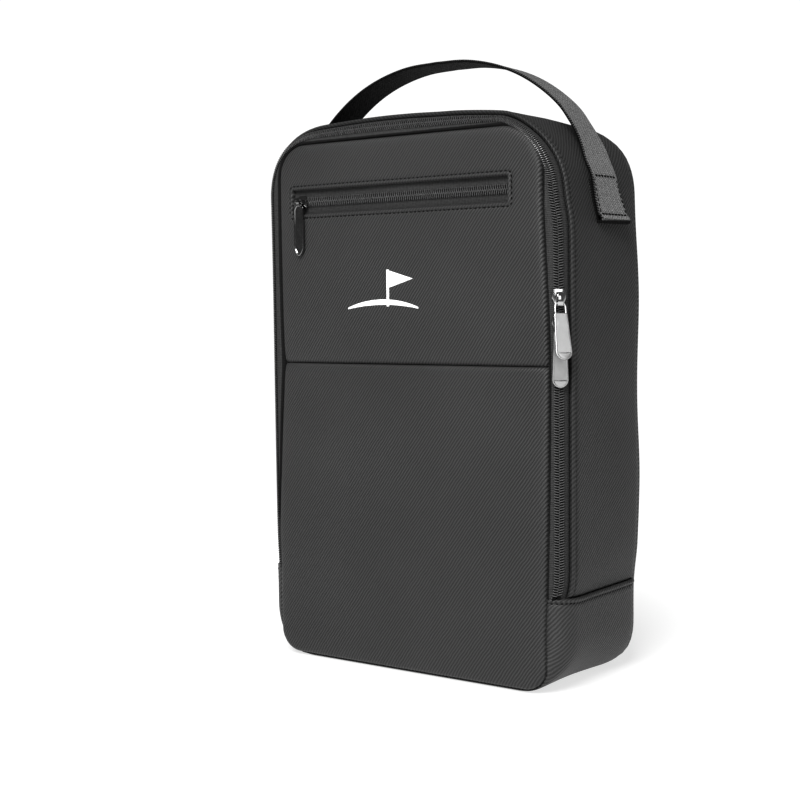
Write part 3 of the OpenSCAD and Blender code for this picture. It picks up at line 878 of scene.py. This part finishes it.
def pieces_of_boot():
    """The boot's cloth, whose front edge tucks under the front, and the stitching at its top."""
    top = BOOT_H + 1.2
    seam = top - 3.1
    lip = 9.0
    count = 46
    left = stretch((-HALF_W, top), (-HALF_W, top - lip), (-1, 0), 0.45)
    right = stretch((HALF_W, top - lip), (HALF_W, top), (1, 0), 0.45)
    path = joined([left, under_base(top - lip, 3.0), right])
    points, normals = path
    crease = crease_side(path)
    lip_out = curve_of([(0, -0.7), (0.15, 0.1), (0.5, 0.75), (1.0, 1.1), (1.6, 1.0), (2.4, 0.2),
                        (3.1, -0.5), (3.9, -0.1), (5.5, 0.1), (8, 0), (400, 0)])
    sections = []
    for p, n, c in zip(points, normals, crease):
        under = float(smoothstep(0.0, 0.85, max(0.0, -n[1])))
        out = 1.6 * (1 - under)
        wide = out - c
        depth = float(np.clip(1.45 * wide, 2.2, 17))
        front = -45.7 - 1.6 * float(smoothstep(2, 9, wide))
        a = np.radians(np.linspace(0, 90, 16))
        line = np.vstack([[(c - 1.6, front + 2.6), (c - 0.7, front + 1.7), (c + 0.1, front + 0.6)],
                          np.c_[c + 0.8 + (wide - 0.8) * np.sin(a), front + depth * (1 - np.cos(a))],
                          [(out, -20), (out, 0), (out, 20), (out - 0.1, 31), (out - 0.6, 37),
                           (out - 2.0, 40.4), (-2.4, 41.3)]])
        line = spread(smooth_line(line, 0.6), count)
        rise = lip_out(top - p[1]) if n[0] > 0.9 else 0.0      # only the right side's lip stands proud
        push = np.clip(run_length(line) / 3.0, 0, 1) * rise
        inner = line + line_normals(line) * 1.5
        outer = line - line_normals(line) * push[:, None]
        sections.append(np.vstack([outer, inner[::-1]]))
    boot = sweep("boot_cloth", path, sections, TWILL_BOOT, flip=True, rise=boot_rise)
    attach(boot, "shell", "twill", "base_boot", fill=0.3)
    for sign, label in ((-1, "left"), (1, "right")):
        other_side = np.sign(points[:, 0]) != sign
        row_at = int(np.argmin(np.abs(points[:, 1] - seam) + 500 * other_side))
        outline = sections[row_at][:count]
        outline = outline[(outline[:, 1] > -46.8) & (outline[:, 1] < 39.5)
                          & (outline[:, 0] > crease[row_at] + 0.9)]
        outline = smooth_line(outline, 0.8)
        normal = -line_normals(outline)
        height = seam + boot_rise(outline[:, 1], BOOT_H)
        line = np.c_[sign * (HALF_W + outline[:, 0]), outline[:, 1], height]
        row = stitch_mesh(f"boot_stitching_{label}", line,
                          np.c_[sign * normal[:, 0], normal[:, 1], 0 * normal[:, 0]])
        attach(row, "shell", "twill")


def pieces_of_back():
    """The back panel: a dished cloth whose edge is rounded down to the side strip's seam."""
    rim = whole_rim()
    r = HALF_D - GUSSET_BACK
    angles = np.radians(np.linspace(-18, 90, 13))
    rings = [(-r + (r - 0.9) * math.cos(a), GUSSET_BACK + (r + 0.1) * math.sin(a)) for a in angles]
    rings[0] = (-2.6, GUSSET_BACK - 0.6)
    rings += [(-r - d, HALF_D + 0.1) for d in (3, 7, 12, 17, 22)]
    grid = [beside(*rim, side, depth) for side, depth in rings]
    centre = np.array([0, HALF_D + 0.1, BODY_H / 2])
    towards = (0.12, 0.25, 0.38, 0.5, 0.62, 0.74, 0.86, 0.95)
    grid = np.array(grid + [grid[-1] + (centre - grid[-1]) * t for t in towards])
    thickness = 1.4 * np.minimum(1, np.arange(len(grid)) / 8)
    back = np.concatenate([grid, (grid - thickness[:, None, None] * (0, 1, 0))[::-1]])
    rows, cols = back.shape[:2]
    middle = len(grid) - 1
    strips = [(i, (i + 1) % rows) for i in range(rows) if i != middle]
    faces = [[a * cols + j, a * cols + (j + 1) % cols, b * cols + (j + 1) % cols, b * cols + j]
             for a, b in strips for j in range(cols)]
    faces += [[row * cols + j for j in range(cols)] for row in (middle, middle + 1)]
    verts = back.reshape(-1, 3)
    flat = np.concatenate(faces)
    piece = add_mesh("back_cloth", verts, faces, np.c_[-verts[flat, 0], -verts[flat, 2]], TWILL)
    attach(piece, "shell", "twill", "back_panel", fill=0.5)


# ---------------------------------------------------------------- main zip

def pieces_of_main_zip():
    """Each half of the zip: its tape, its coil and the cord inside it. The front tape runs from
    the chain back to the front's edge, in more folds where there is room."""
    count = 15
    path = over_top(FOLD[2] + 0.5, 3.0)
    behind = over_top(BOOT_H - 6, 3.0)
    rear = [CHAIN + ACROSS * 0.9, CHAIN + ACROSS * 2.6, CHAIN + ACROSS * 4.0 - OUT * 0.25, (-2.75, -40.6),
            (-3.0, -38.2), (-3.5, -33.5)]
    first, second, third = CHAIN - ACROSS * 0.9, CHAIN - ACROSS * 2.6, CHAIN - ACROSS * 4.0 - OUT * 0.25
    sections = []
    for c in crease_side(path):
        wide = [first, second, third, (min(third[0] - 0.3, (third[0] + c) / 2), -48.25), (c + 1.3, -47.7),
                (c + 0.35, -46.7), (c - 0.5, -45.6), (c - 2.0, -44.9)]
        narrow = [first, second, (c + 0.9, -47.5), (c + 0.5, -47.0), (c + 0.1, -46.5), (c - 0.4, -46.0),
                  (c - 1.0, -45.4), (c - 2.2, -44.9)]
        room = float(smoothstep(-10.2, -13.2, c))
        line = np.array([np.array(a) * room + np.array(b) * (1 - room) for a, b in zip(wide, narrow)])
        sections.append(ribbon(spread(smooth_line(line, 0.5), count), TAPE_THICK))
    # The front tape's width counts from its end at the front's crease, where TAPE_FRONT paints its shade.
    for name, section, track, body, cloth, zero in (
            ("zip_tape_rear_cloth", ribbon(smooth_line(rear, 0.9), TAPE_THICK), behind, "shell", TAPE, 0),
            ("zip_tape_front_cloth", sections, path, "lid", TAPE_FRONT, count - 1)):
        tape = sweep(name, track, section, cloth, zero=zero)
        attach(tape, body, "tape", name.replace("_cloth", ""))
    place = rim_place(path)
    length = run_length(path[0])[-1]
    for name, side, body in (("coil_rear", 1, "shell"), ("coil_front", -1, "lid")):
        coil = coil_mesh(name, place, length - 3, side)
        attach(coil, body, "teeth", "zip_teeth_rear" if side > 0 else "zip_teeth_front")
        core = [CHAIN + ACROSS * side * a + OUT * o for a, o in COIL_CORE]
        cord = sweep(name + "_cord", path, core[::side], CORD, sharp=60)
        attach(cord, body, "teeth")


# ---------------------------------------------------------------- pocket

def pieces_of_pocket():
    """The pocket's zip: two tapes, two coils and the cord inside each."""
    x0, x1 = POCKET_X
    xs = np.linspace(x0 - 4, x1 + 4, 60)

    def along_zip(name, side, section, across, material, **kw):
        """Carries a section of (across, out) points along the pocket's zip."""
        y, z = POCKET_TAPE_Y - section[:, 1], POCKET_Z + side * section[:, 0]
        grid = np.broadcast_arrays(xs[:, None], y, z)
        across = np.repeat(across[None], len(xs), 0)
        return grid_mesh(name, np.stack(grid, -1), across, xs, material, around=True, soft=False, **kw)

    place = lambda s, across, out: np.c_[x0 - 1 + s, POCKET_TAPE_Y - out, POCKET_Z + across]
    line = [(0.9, 0.0), (2.6, 0.0), (4.2, 0.15), (7.0, 0.45), (10.5, 0.7)]
    section = ribbon(smooth_line(line, 0.8), TAPE_THICK)
    width = run_length(section)
    width = np.r_[width, width[-1] + 0.5]
    for side, label in ((-1, "lower"), (1, "upper")):
        tape = along_zip(f"pocket_tape_{label}", side, section * (1, -1), width, TAPE)
        attach(tape, "lid", "tape", "pocket_zip_tape")
        coil = coil_mesh(f"pocket_coil_{label}", place, x1 - x0 + 1, side, soft=False)
        attach(coil, "lid", "teeth", "pocket_zip_teeth")
        cord = along_zip(coil.name + "_cord", side, COIL_CORE[::-side], np.zeros(5), CORD, sharp=60)
        attach(cord, "lid", "teeth")


# ---------------------------------------------------------------- handle

PAINTED_SHADE_SHIFT = 60.0             # added to the cloth map's width on the hidden face and below the folded ends, which herringbone darkens as painted shade


def webbing_grid(path, width, thick):
    """A flat strap that follows a line of (X, Z) points, as a closed loop of points per step."""
    n = line_normals(path)
    half, edge = width / 2, thick / 2
    y = np.r_[-half, -half + 0.15, -half + 0.5, np.linspace(-half + 1.6, half - 1.6, 9), half - 0.5,
              half - 0.15, half]
    h = edge * np.r_[0.3, 0.8, 1.0, np.full(9, 0.92), 1.0, 0.8, 0.3]
    loop = np.vstack([np.c_[y, h], np.c_[y, -h][::-1]])
    grid = beside(path[:, None], n[:, None], loop[:, 1], loop[:, 0])
    # Painted shade: the hidden face's cloth width is shifted past 30 mm, where herringbone darkens it.
    under = PAINTED_SHADE_SHIFT * (np.arange(len(loop)) >= len(y))
    across = np.repeat(np.r_[loop[:, 0] + under, loop[-1, 0] + PAINTED_SHADE_SHIFT][None], len(path), 0)
    return grid, across


def settle_strap(v):
    """The strap's ends lie on the softened side; its arch stands a little behind the middle."""
    held = 1 - smoothstep(318, 344, v[:, 2])
    v = v + (soften(v) - v) * held[:, None]
    end = 1 - smoothstep(282, 312, v[:, 2])
    v[:, 0] += np.sign(v[:, 0]) * end * (0.6 + 0.14 * v[:, 1])
    v[:, 1] = v[:, 1] * (1 + 0.06 * end) + 3.0 * smoothstep(300, 345, v[:, 2]) + 4.5 * end
    return v


def pieces_of_handle():
    """One strap whose ends are folded under, and the box of stitching that holds each end."""
    thick = 1.7
    inner = HALF_W + 1.15 + thick / 2
    outer = inner + thick + 0.1
    lip, top = low("handle_end_right")[2], high("handle_end_right")[2]
    half = [
        (0, 389.1), (22, 388.2), (42, 384), (60, 377), (76, 367.2), (90.3, 354.8), (100, 341.5),
        (110.3, 328.5), (116.2, 317.5), (outer - 0.4, top - 2), (outer, 303), (outer, 296),
        (outer + 0.2, 290.5), (outer + 0.5, lip + 4.2), (outer + 1.6, lip + 3.2), (outer + 2.1, lip + 1.8),
        (outer + 1.4, lip + 0.2), (inner + 0.5, lip + 0.1), (inner - 0.1, lip + 2.2), (inner, 290),
        (inner, 300), (inner - 0.4, top - 4)]
    right = smooth_line(half, 1.8)
    left = right[::-1] * np.array([-1, 1])
    path = np.vstack([left[:-1], right])
    grid, across = webbing_grid(path, 26.5, thick)
    grid = settle_strap(grid.reshape(-1, 3)).reshape(grid.shape)
    # Painted shade under the folded ends: below the lip the cloth width is shifted the same way.
    across = across + PAINTED_SHADE_SHIFT * (path[:, 1] < lip + 1.0)[:, None]
    strap = grid_mesh("handle_webbing", grid, across, run_length(path), WEBBING, around=True, soft=False)
    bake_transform(strap)
    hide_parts("handle_strap", "handle_leg_left", "handle_leg_right",
                "handle_end_left", "handle_end_right")

    z0, z1, y1 = lip + 4.6, top - 1.4, 11.8
    rows = {"top": [(-y1 + 1, z1), (y1 - 1, z1)], "front": [(-y1, z1), (-y1, z0)],
            "back": [(y1, z1), (y1, z0)], "lower": [(-y1, z0), (y1, z0)]}
    for sign, label in ((-1, "left"), (1, "right")):
        for row_name, ends in rows.items():
            dense = np.linspace(*ends, 30)
            x = thick / 2 + np.interp(
                dense[:, 1], [280, 286.2, 289.5, 296, 303, top - 2, top + 6],
                [outer + 1.6, outer + 0.8, outer + 0.3, outer, outer, outer - 0.4, outer - 2.6])
            line = settle_strap(np.c_[sign * x, dense])
            heavy = row_name in ("top", "lower")
            row = stitch_mesh(f"handle_stitching_{row_name}_{label}", line, (sign, 0, 0), length=2.5,
                              r=0.62 if heavy else 0.36, sink=0.0, soft=False)
            attach(row, "shell", "webbing")


# ---------------------------------------------------------------- metal pieces

class Metal:
    """Gathers bevelled solids, in a zip's own frame: the chain runs along Z and -Y is outward."""

    def __init__(self):
        self.bm = bmesh.new()

    def prism(self, outline, lo, hi, axis="y", bevel=0.2, recess=None):
        """Extrudes an outline. Along y it is (x, z); along x it is (y, z)."""
        bm = self.bm
        at = (lambda p, t: (p[0], t, p[1])) if axis == "y" else (lambda p, t: (t, p[0], p[1]))
        a = [bm.verts.new(at(p, lo)) for p in outline]
        b = [bm.verts.new(at(p, hi)) for p in outline]
        first, last = bm.faces.new(a), bm.faces.new(b[::-1])
        walls = [bm.faces.new([a[i], b[i], b[(i + 1) % len(b)], a[(i + 1) % len(a)]][::-1])
                 for i in range(len(a))]
        faces = [first, last, *walls]
        bmesh.ops.recalc_face_normals(bm, faces=faces)
        if recess:
            margin, depth = recess
            bmesh.ops.inset_region(bm, faces=[first], thickness=margin, use_even_offset=True)
            bmesh.ops.inset_region(bm, faces=[first], thickness=depth * 1.2, depth=-depth,
                                   use_even_offset=True)
        edges = {e for f in faces for e in f.edges if e.is_valid and len(e.link_faces) == 2
                 and e.calc_face_angle(0) > math.radians(38) and not (recess and first in e.link_faces)}
        bmesh.ops.bevel(bm, geom=list(edges), offset=bevel, segments=2, affect="EDGES", profile=0.6)

    def rod(self, points, radius, sides=12):
        line = np.array(points, float)
        tangent = unit(np.gradient(line, axis=0))
        ref = np.array([0.0, 1.0, 0.0]) if abs(tangent[:, 1]).max() < 0.9 else np.array([1.0, 0.0, 0.0])
        rings = tube_points(line, np.tile(ref, (len(line), 1)), radius, sides)
        verts = [[self.bm.verts.new(p) for p in ring] for ring in rings]
        made = [self.bm.faces.new([a[i], a[(i + 1) % sides], b[(i + 1) % sides], b[i]])
                for a, b in zip(verts, verts[1:]) for i in range(sides)]
        made += [self.bm.faces.new(verts[0][::-1]), self.bm.faces.new(verts[-1])]
        bmesh.ops.recalc_face_normals(self.bm, faces=made)

    def piece(self, name, matrix, material):
        mesh = bpy.data.meshes.new(name)
        self.bm.transform(matrix)
        bmesh.ops.scale(self.bm, vec=(MM, MM, MM), verts=self.bm.verts)
        bmesh.ops.recalc_face_normals(self.bm, faces=self.bm.faces)
        self.bm.to_mesh(mesh)
        self.bm.free()
        return shaded(mesh, material, 35)


def both_sides(half, start=0):
    """A closed outline from its right half, which runs upward, beginning at half[start]."""
    outline = half + [(-x, z) for x, z in half[::-1]]
    return outline[start:] + outline[:start]


def arc2(cx, cy, r, a0, a1, n):
    return [(cx + r * math.cos(a), cy + r * math.sin(a)) for a in np.radians(np.linspace(a0, a1, n))]


def slider_plates(m):
    """The two plates, their lips and the wedge between them."""
    top = both_sides([(2.5, -5.0), (3.0, -4.4), (3.2, -2.4), (4.0, -0.8),
                      (4.25, 1.2), (4.1, 3.4), (3.4, 4.7), (2.0, 5.1)], start=4)
    m.prism(top, -3.15, -2.15, bevel=0.28)
    m.prism([(x * 0.93, z) for x, z in top], 1.25, 2.05, bevel=0.2)
    for s in (-1, 1):
        lip = [(s * 4.2, 3.2), (s * 3.6, 3.2), (s * 3.6, -0.6), (s * 4.2, -0.6)]
        m.prism(lip[::s], -2.3, -1.25, bevel=0.12)
        lip = [(s * 3.15, -0.9), (s * 2.75, -0.9), (s * 2.55, -4.4), (s * 2.95, -4.4)]
        m.prism(lip[::s], -2.3, -1.35, bevel=0.1)
    m.prism([(-0.32, 4.6), (0.32, 4.6), (0.22, 1.0), (-0.22, 1.0)], -2.3, 1.4, bevel=0.05)


def main_slider(node, bar):
    """A slider whose bridge arches along the chain, over the pull's bar."""
    m = Metal()
    slider_plates(m)
    outer = [(-2.9, -5.1), (-4.5, -5.2), (-5.7, -4.8), (-6.3, -3.8), (-6.4, -2.2), (-6.25, 0.2),
             (-5.8, 1.9), (-5.0, 2.9), (-3.9, 3.3), (-2.9, 3.3)]
    inner = [(-2.9, 2.3), (-3.9, 2.2), (-4.7, 1.8), (-5.2, 0.9), (-5.45, -0.5), (-5.55, -2.2),
             (-5.45, -3.4), (-5.0, -4.1), (-4.2, -4.2), (-2.9, -4.2)]
    m.prism(outer + inner, -1.7, 1.7, axis="x", bevel=0.35)
    origin = Vector((bar[0] - OUT[0] * BAR_OUT, bar[1] - OUT[1] * BAR_OUT, bar[2] + BAR_DROP))
    piece = m.piece(f"{node}_body", Matrix.Translation(origin) @ Matrix.Rotation(TURN, 4, "Z"), POLISHED)
    attach(piece, node, "zip_metal", node)


def main_pull(node, bar, lean):
    """A wire eye and a broad flat tab with a sunk face and a rounded end."""
    m = Metal()
    wire = both_sides([(2.7, -6.8), (3.1, -5.6), (3.15, -4.0), (2.95, -1.5), (2.4, -0.4), (1.4, 0.0)])
    wire.insert(len(wire) // 2, (0, 0.0))
    m.rod(smooth_line([(x, 0, z) for x, z in wire], 0.5), 0.66)
    rounded = arc2(0, -29.2, 4.85, 190, 350, 17)
    tab = [(3.4, -6.0), (-3.4, -6.0), (-3.95, -6.7), (-4.85, -29.3), *rounded, (4.85, -29.3), (3.95, -6.7)]
    m.prism(tab, -0.75, 0.7, bevel=0.3, recess=(0.62, 0.28))
    rounded = [(x * 0.88, z + 0.3) for x, z in arc2(0, -29.2, 4.5, 340, 200, 13)]
    end = [(-3.9, -30.6), (-4.1, -29.9), (4.1, -29.9), (3.9, -30.6), *rounded]
    m.prism(end, -1.05, -0.4, bevel=0.35)
    turn = Matrix.Rotation(TURN, 4, "Z") @ Matrix.Rotation(-lean, 4, "X")
    piece = m.piece(f"{node}_tab", Matrix.Translation(Vector(bar)) @ turn, SATIN)
    attach(piece, node, "zip_metal", node)


def pocket_slider():
    """The same plates as a main slider, with two posts that hold the pull's bar."""
    m = Metal()
    slider_plates(m)
    m.rod([(0, -POCKET_BAR_OUT, z) for z in np.linspace(-3.2, 3.2, 9)], 0.75)
    out = -POCKET_BAR_OUT - 1.0
    for s in (-1, 1):
        post = [(-2.7, s * 2.9), (out, s * 2.9), (out, s * 3.7), (-2.7, s * 4.3)]
        m.prism(post[::s], -1.3, 1.3, axis="x", bevel=0.22)
    origin = Vector((POCKET_BAR[0], POCKET_TAPE_Y, POCKET_BAR[2]))
    across_bag = Matrix.Rotation(math.pi / 2, 4, "Y")
    slider = m.piece("pocket_slider_body", Matrix.Translation(origin) @ across_bag, NICKEL)
    attach(slider, "pocket_slider", "black_nickel", "pocket_slider")


def pocket_pull():
    """A tab with a sunk face, and the eye that its slider's bar runs through."""
    m = Metal()
    eye, bore = (arc2(0, 0, r, 0, 360, 19)[:-1] for r in (1.75, 0.95))
    bm = m.bm
    faces_of_eye = ((-1.2, eye), (1.2, eye), (1.2, bore), (-1.2, bore))
    rings = [[bm.verts.new((x, *p)) for p in ring] for x, ring in faces_of_eye]
    for a, b in zip(rings, rings[1:] + rings[:1]):
        for i in range(len(eye)):
            bm.faces.new([a[i], a[(i + 1) % len(eye)], b[(i + 1) % len(eye)], b[i]])
    half = [(0.7, -34.9), (2.6, -33.0), (3.85, -30.0), (3.85, -5.0), (3.2, -3.4), (1.6, -1.5)]
    tab = both_sides(half, start=5)
    m.prism(tab, -0.85, 0.7, bevel=0.42, recess=(0.75, 0.4))
    pull = m.piece("pocket_pull_tab", Matrix.Translation(Vector(POCKET_BAR)), NICKEL)
    attach(pull, "pocket_pull", "black_nickel", "pocket_pull")


def pocket_stops():
    """The clips that end the pocket's chain."""
    x0, x1 = POCKET_X
    for x, label in ((x0 - 2.0, "left"), (x1 + 0.1, "right")):
        m = Metal()
        m.prism([(x, -2.9), (x + 1.9, -2.9), (x + 1.9, 2.9), (x, 2.9)], -1.1, -0.3, bevel=0.25)
        stop = m.piece(f"pocket_stop_{label}", Matrix.Translation((0, POCKET_TAPE_Y, POCKET_Z)), SATIN)
        attach(stop, "lid", "zip_metal", "pocket_zip_stops")


# ---------------------------------------------------------------- inside

def pieces_inside():
    """Lining, foam and bindings, which show once the front is folded down."""
    wall, thin = 5.1, 0.6        # how far the lining stands inside the body, and its thickness
    front_lining = -42.1         # its depth behind the front

    def fit(piece, body, node, cloth):
        slot, fill = ("foam", 0.2) if cloth is FOAM else ("lining", None)
        attach(piece, body, slot, node, fill=fill)

    def layer(name, body, node, z0, z1, sides, y, thick, cloth, step, uneven=0.0, seed=0):
        """A flat sheet across the bag at depth y."""
        depth = lambda x, z: y + uneven * ripple(x, 0 * x, z, seed)
        fit(front_grid(name, z0, z1, sides, depth, thick, cloth, step=step), body, node, cloth)

    def body_shape(off):
        return plain_sides(HALF_W - off, off, BODY_H - off, BASE_R - off, TOP_R - off)

    def lid_shape(z0, off):
        return plain_sides(CREASE_X - off, z0, CREASE_TOP - off, 2.0, TOP_R - EDGE_IN - off)

    section = [(-4.5, -28.5), (-2.0, -28.5), (-2.0, 36), (-2.6, 39.5), (-4.5, 39.5)]
    fit(sweep("side_padding", over_top(BASE_R + 1), section, FOAM, sharp=60), "shell", "side_foam", FOAM)
    rim = whole_rim()
    sections = []
    for height in rim[0][:, 1]:
        ahead = smoothstep(BOOT_H + 6, BOOT_H - 6, height)
        front = -36.0 * (1 - ahead) - 41.6 * ahead
        line = smooth_line([(-wall + 0.1, front), (-wall + 0.1, front + 5), (-wall, 0), (-wall, 38),
                            (-wall - 0.6, 42.5), (-wall - 2.6, 44.4)], 2)
        sections.append(ribbon(spread(line, 18), thin))
    fit(sweep("side_lining", rim, sections, LINING, looped=True), "shell", "body_lining", LINING)

    off = wall + 1.4
    layer("back_lining", "shell", "body_lining", off, BODY_H - off, body_shape(off), 44.2, thin, LINING, 7,
          -0.5, 31)
    layer("foot_lining", "shell", "body_lining", off, BOOT_H, body_shape(off), front_lining, thin, LINING, 7)
    layer("back_padding", "shell", "back_foam", 10, BODY_H - 10, body_shape(10), 45.4, 3.0, FOAM, 12)
    layer("foot_padding", "shell", "foot_foam", 14, BOOT_H - 1, body_shape(14), -45.0, 2.6, FOAM, 12)
    lid_lining = front_grid("lid_lining_cloth", 30.0, CREASE_TOP - 1, lid_shape(30, 1),
                            lambda x, z: front_lining + 0.5 * ripple(x, 0 * x, z, 33), thin, LINING,
                            marks_z=FOLD_MARKS, step=7)
    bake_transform(lid_lining)
    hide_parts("lid_lining")
    z0 = FOLD[2] + 1
    layer("lid_padding", "lid", "lid_foam", z0, CREASE_TOP - 3, lid_shape(z0, 3), -44.7, 2.3, FOAM, 12)
    layer("pocket_pouch_cloth", "lid", "pocket_pouch", 205.0, 315.0, plain_sides(95.0, 205, 315, 3, 3),
          -45.7, 0.8, LINING, 9)

    def binding(name, body, centre, *half_sizes):
        a = np.linspace(0, 2 * math.pi, 17)[:-1]
        turn = np.c_[np.cos(a), np.sin(a)]
        loop = np.array(centre) + half_sizes * np.sign(turn) * np.abs(turn) ** 0.5
        piece = sweep(f"{name}_tape", over_top(FOLD[2]), loop, BINDING)
        attach(piece, body, "binding", f"{name}_binding")

    binding("mouth", "shell", (-wall - 0.75, -33.4), 0.9, 3.4)
    binding("back", "shell", (-wall - 0.9, 40.5), 0.9, 3.4)
    binding("lid", "lid", (-EDGE_IN - 4.6, -40.9), 3.6, 0.8)


# ---------------------------------------------------------------- the mark on the front

def front_mark():
    """A plain pennant, its pole and the ground it stands on, printed on the front cloth."""
    flag = [(-9.0, 256.0), (9.5, 250.6), (-9.0, 245.2)]
    pole = [(-10.9, 256.6), (-9.0, 256.6), (-9.0, 233.5), (-10.9, 233.5)]
    ground = arc2(-14.0, 160.0, 78.0, 69.5, 110.5, 25) + arc2(-14.0, 88.0, 146.5, 100.8, 79.2, 25)
    m = Metal()
    for outline in (flag, pole, ground):
        area = sum(a[0] * b[1] - b[0] * a[1] for a, b in zip(outline, outline[1:] + outline[:1]))
        m.prism(outline if area > 0 else outline[::-1], 0.0, 0.5, bevel=0.12)
    bmesh.ops.triangulate(m.bm, faces=m.bm.faces)
    for v in m.bm.verts:
        v.co.y += float(front_depth(np.array([v.co.x]), np.array([v.co.z]))[0]) - 0.32
    mark = m.piece("front_mark", Matrix.Identity(4), PRINT)
    attach(mark, "lid", "print", "front_emblem")


# ---------------------------------------------------------------- build

make_camera()
pieces_of_front()
pieces_of_side_strip()
pieces_of_boot()
pieces_of_back()
pieces_of_main_zip()
pieces_of_pocket()
pieces_of_handle()
main_slider("upper_slider", UPPER_BAR)
main_slider("lower_slider", LOWER_BAR)
main_pull("upper_pull", UPPER_BAR, UPPER_LEAN)
main_pull("lower_pull", LOWER_BAR, 0.0)
pocket_slider()
pocket_pull()
pocket_stops()
pieces_inside()
front_mark()

for node, material in (("base_board", BOARD), ("base_pad", FOAM)):
    mesh = frame["nodes"][node].data
    mesh.materials.clear()
    mesh.materials.append(material)


# ---------------------------------------------------------------- floor and light

def make_stage():
    """A pale floor that glows a little as painted light, and less near the bag, as a painted shadow where
    the bag's own shadow lies.
    """
    side = 6.0
    mesh = bpy.data.meshes.new("floor")
    corners = [(-side, -side, 0), (side, -side, 0), (side, side, 0), (-side, side, 0)]
    mesh.from_pydata(corners, [], [(0, 1, 2, 3)])
    floor = add_object("floor", mesh)
    s = Shader("floor_paint", Roughness=0.75)
    s.shades(s.noise(s.place(), 3), 1.0, (0.3, 0.34), (0.7, 0.36))
    distance = s.nodes.new("ShaderNodeVectorMath")
    distance.operation = "LENGTH"
    s.links.new(s.place(), distance.inputs[0])
    # Painted light: the floor's glow rises from 0.72 near the bag to 0.95 past 0.3 m, the dimmer ring a
    # painted shadow.
    s.shades(distance.outputs["Value"], 1.0, (0.12, 0.72), (0.3, 0.95), socket="Emission Color")
    s.bsdf.inputs["Emission Strength"].default_value = 1.0
    mesh.materials.append(s.material)


def area_light(name, place, target, size, power):
    data = bpy.data.lights.new(name, "AREA")
    data.shape = "RECTANGLE"
    data.size, data.size_y = size
    data.energy = power
    light = add_object(name, data)
    aim = Vector(target) - Vector(place)
    turn = aim.to_track_quat("-Z", "Y").to_matrix().to_4x4()
    light.matrix_world = Matrix.Translation(Vector(place)) @ turn


def make_world():
    """A dim room that lights the bag, behind it a white backdrop that only the camera sees."""
    world = bpy.data.worlds.new("studio")
    bpy.context.scene.world = world
    world.use_nodes = True
    nodes, links = world.node_tree.nodes, world.node_tree.links
    room, backdrop = nodes["Background"], nodes.new("ShaderNodeBackground")
    for background, strength in ((room, 0.15), (backdrop, 1.05)):
        background.inputs["Color"].default_value = (1, 1, 1, 1)
        background.inputs["Strength"].default_value = strength
    seen, mix = nodes.new("ShaderNodeLightPath"), nodes.new("ShaderNodeMixShader")
    links.new(seen.outputs["Is Camera Ray"], mix.inputs[0])
    links.new(room.outputs[0], mix.inputs[1])
    links.new(backdrop.outputs[0], mix.inputs[2])
    links.new(mix.outputs[0], nodes["World Output"].inputs["Surface"])


make_stage()
make_world()
area_light("key", (0.5, -1.6, 1.55), (0, 0, 0.2), (1.0, 1.0), 68)
area_light("right", (1.5, -1.0, 0.9), (0.1, 0, 0.2), (0.5, 0.8), 3.8)
bpy.context.scene.view_settings.view_transform = "Standard"
bpy.context.scene.view_settings.gamma = 0.8
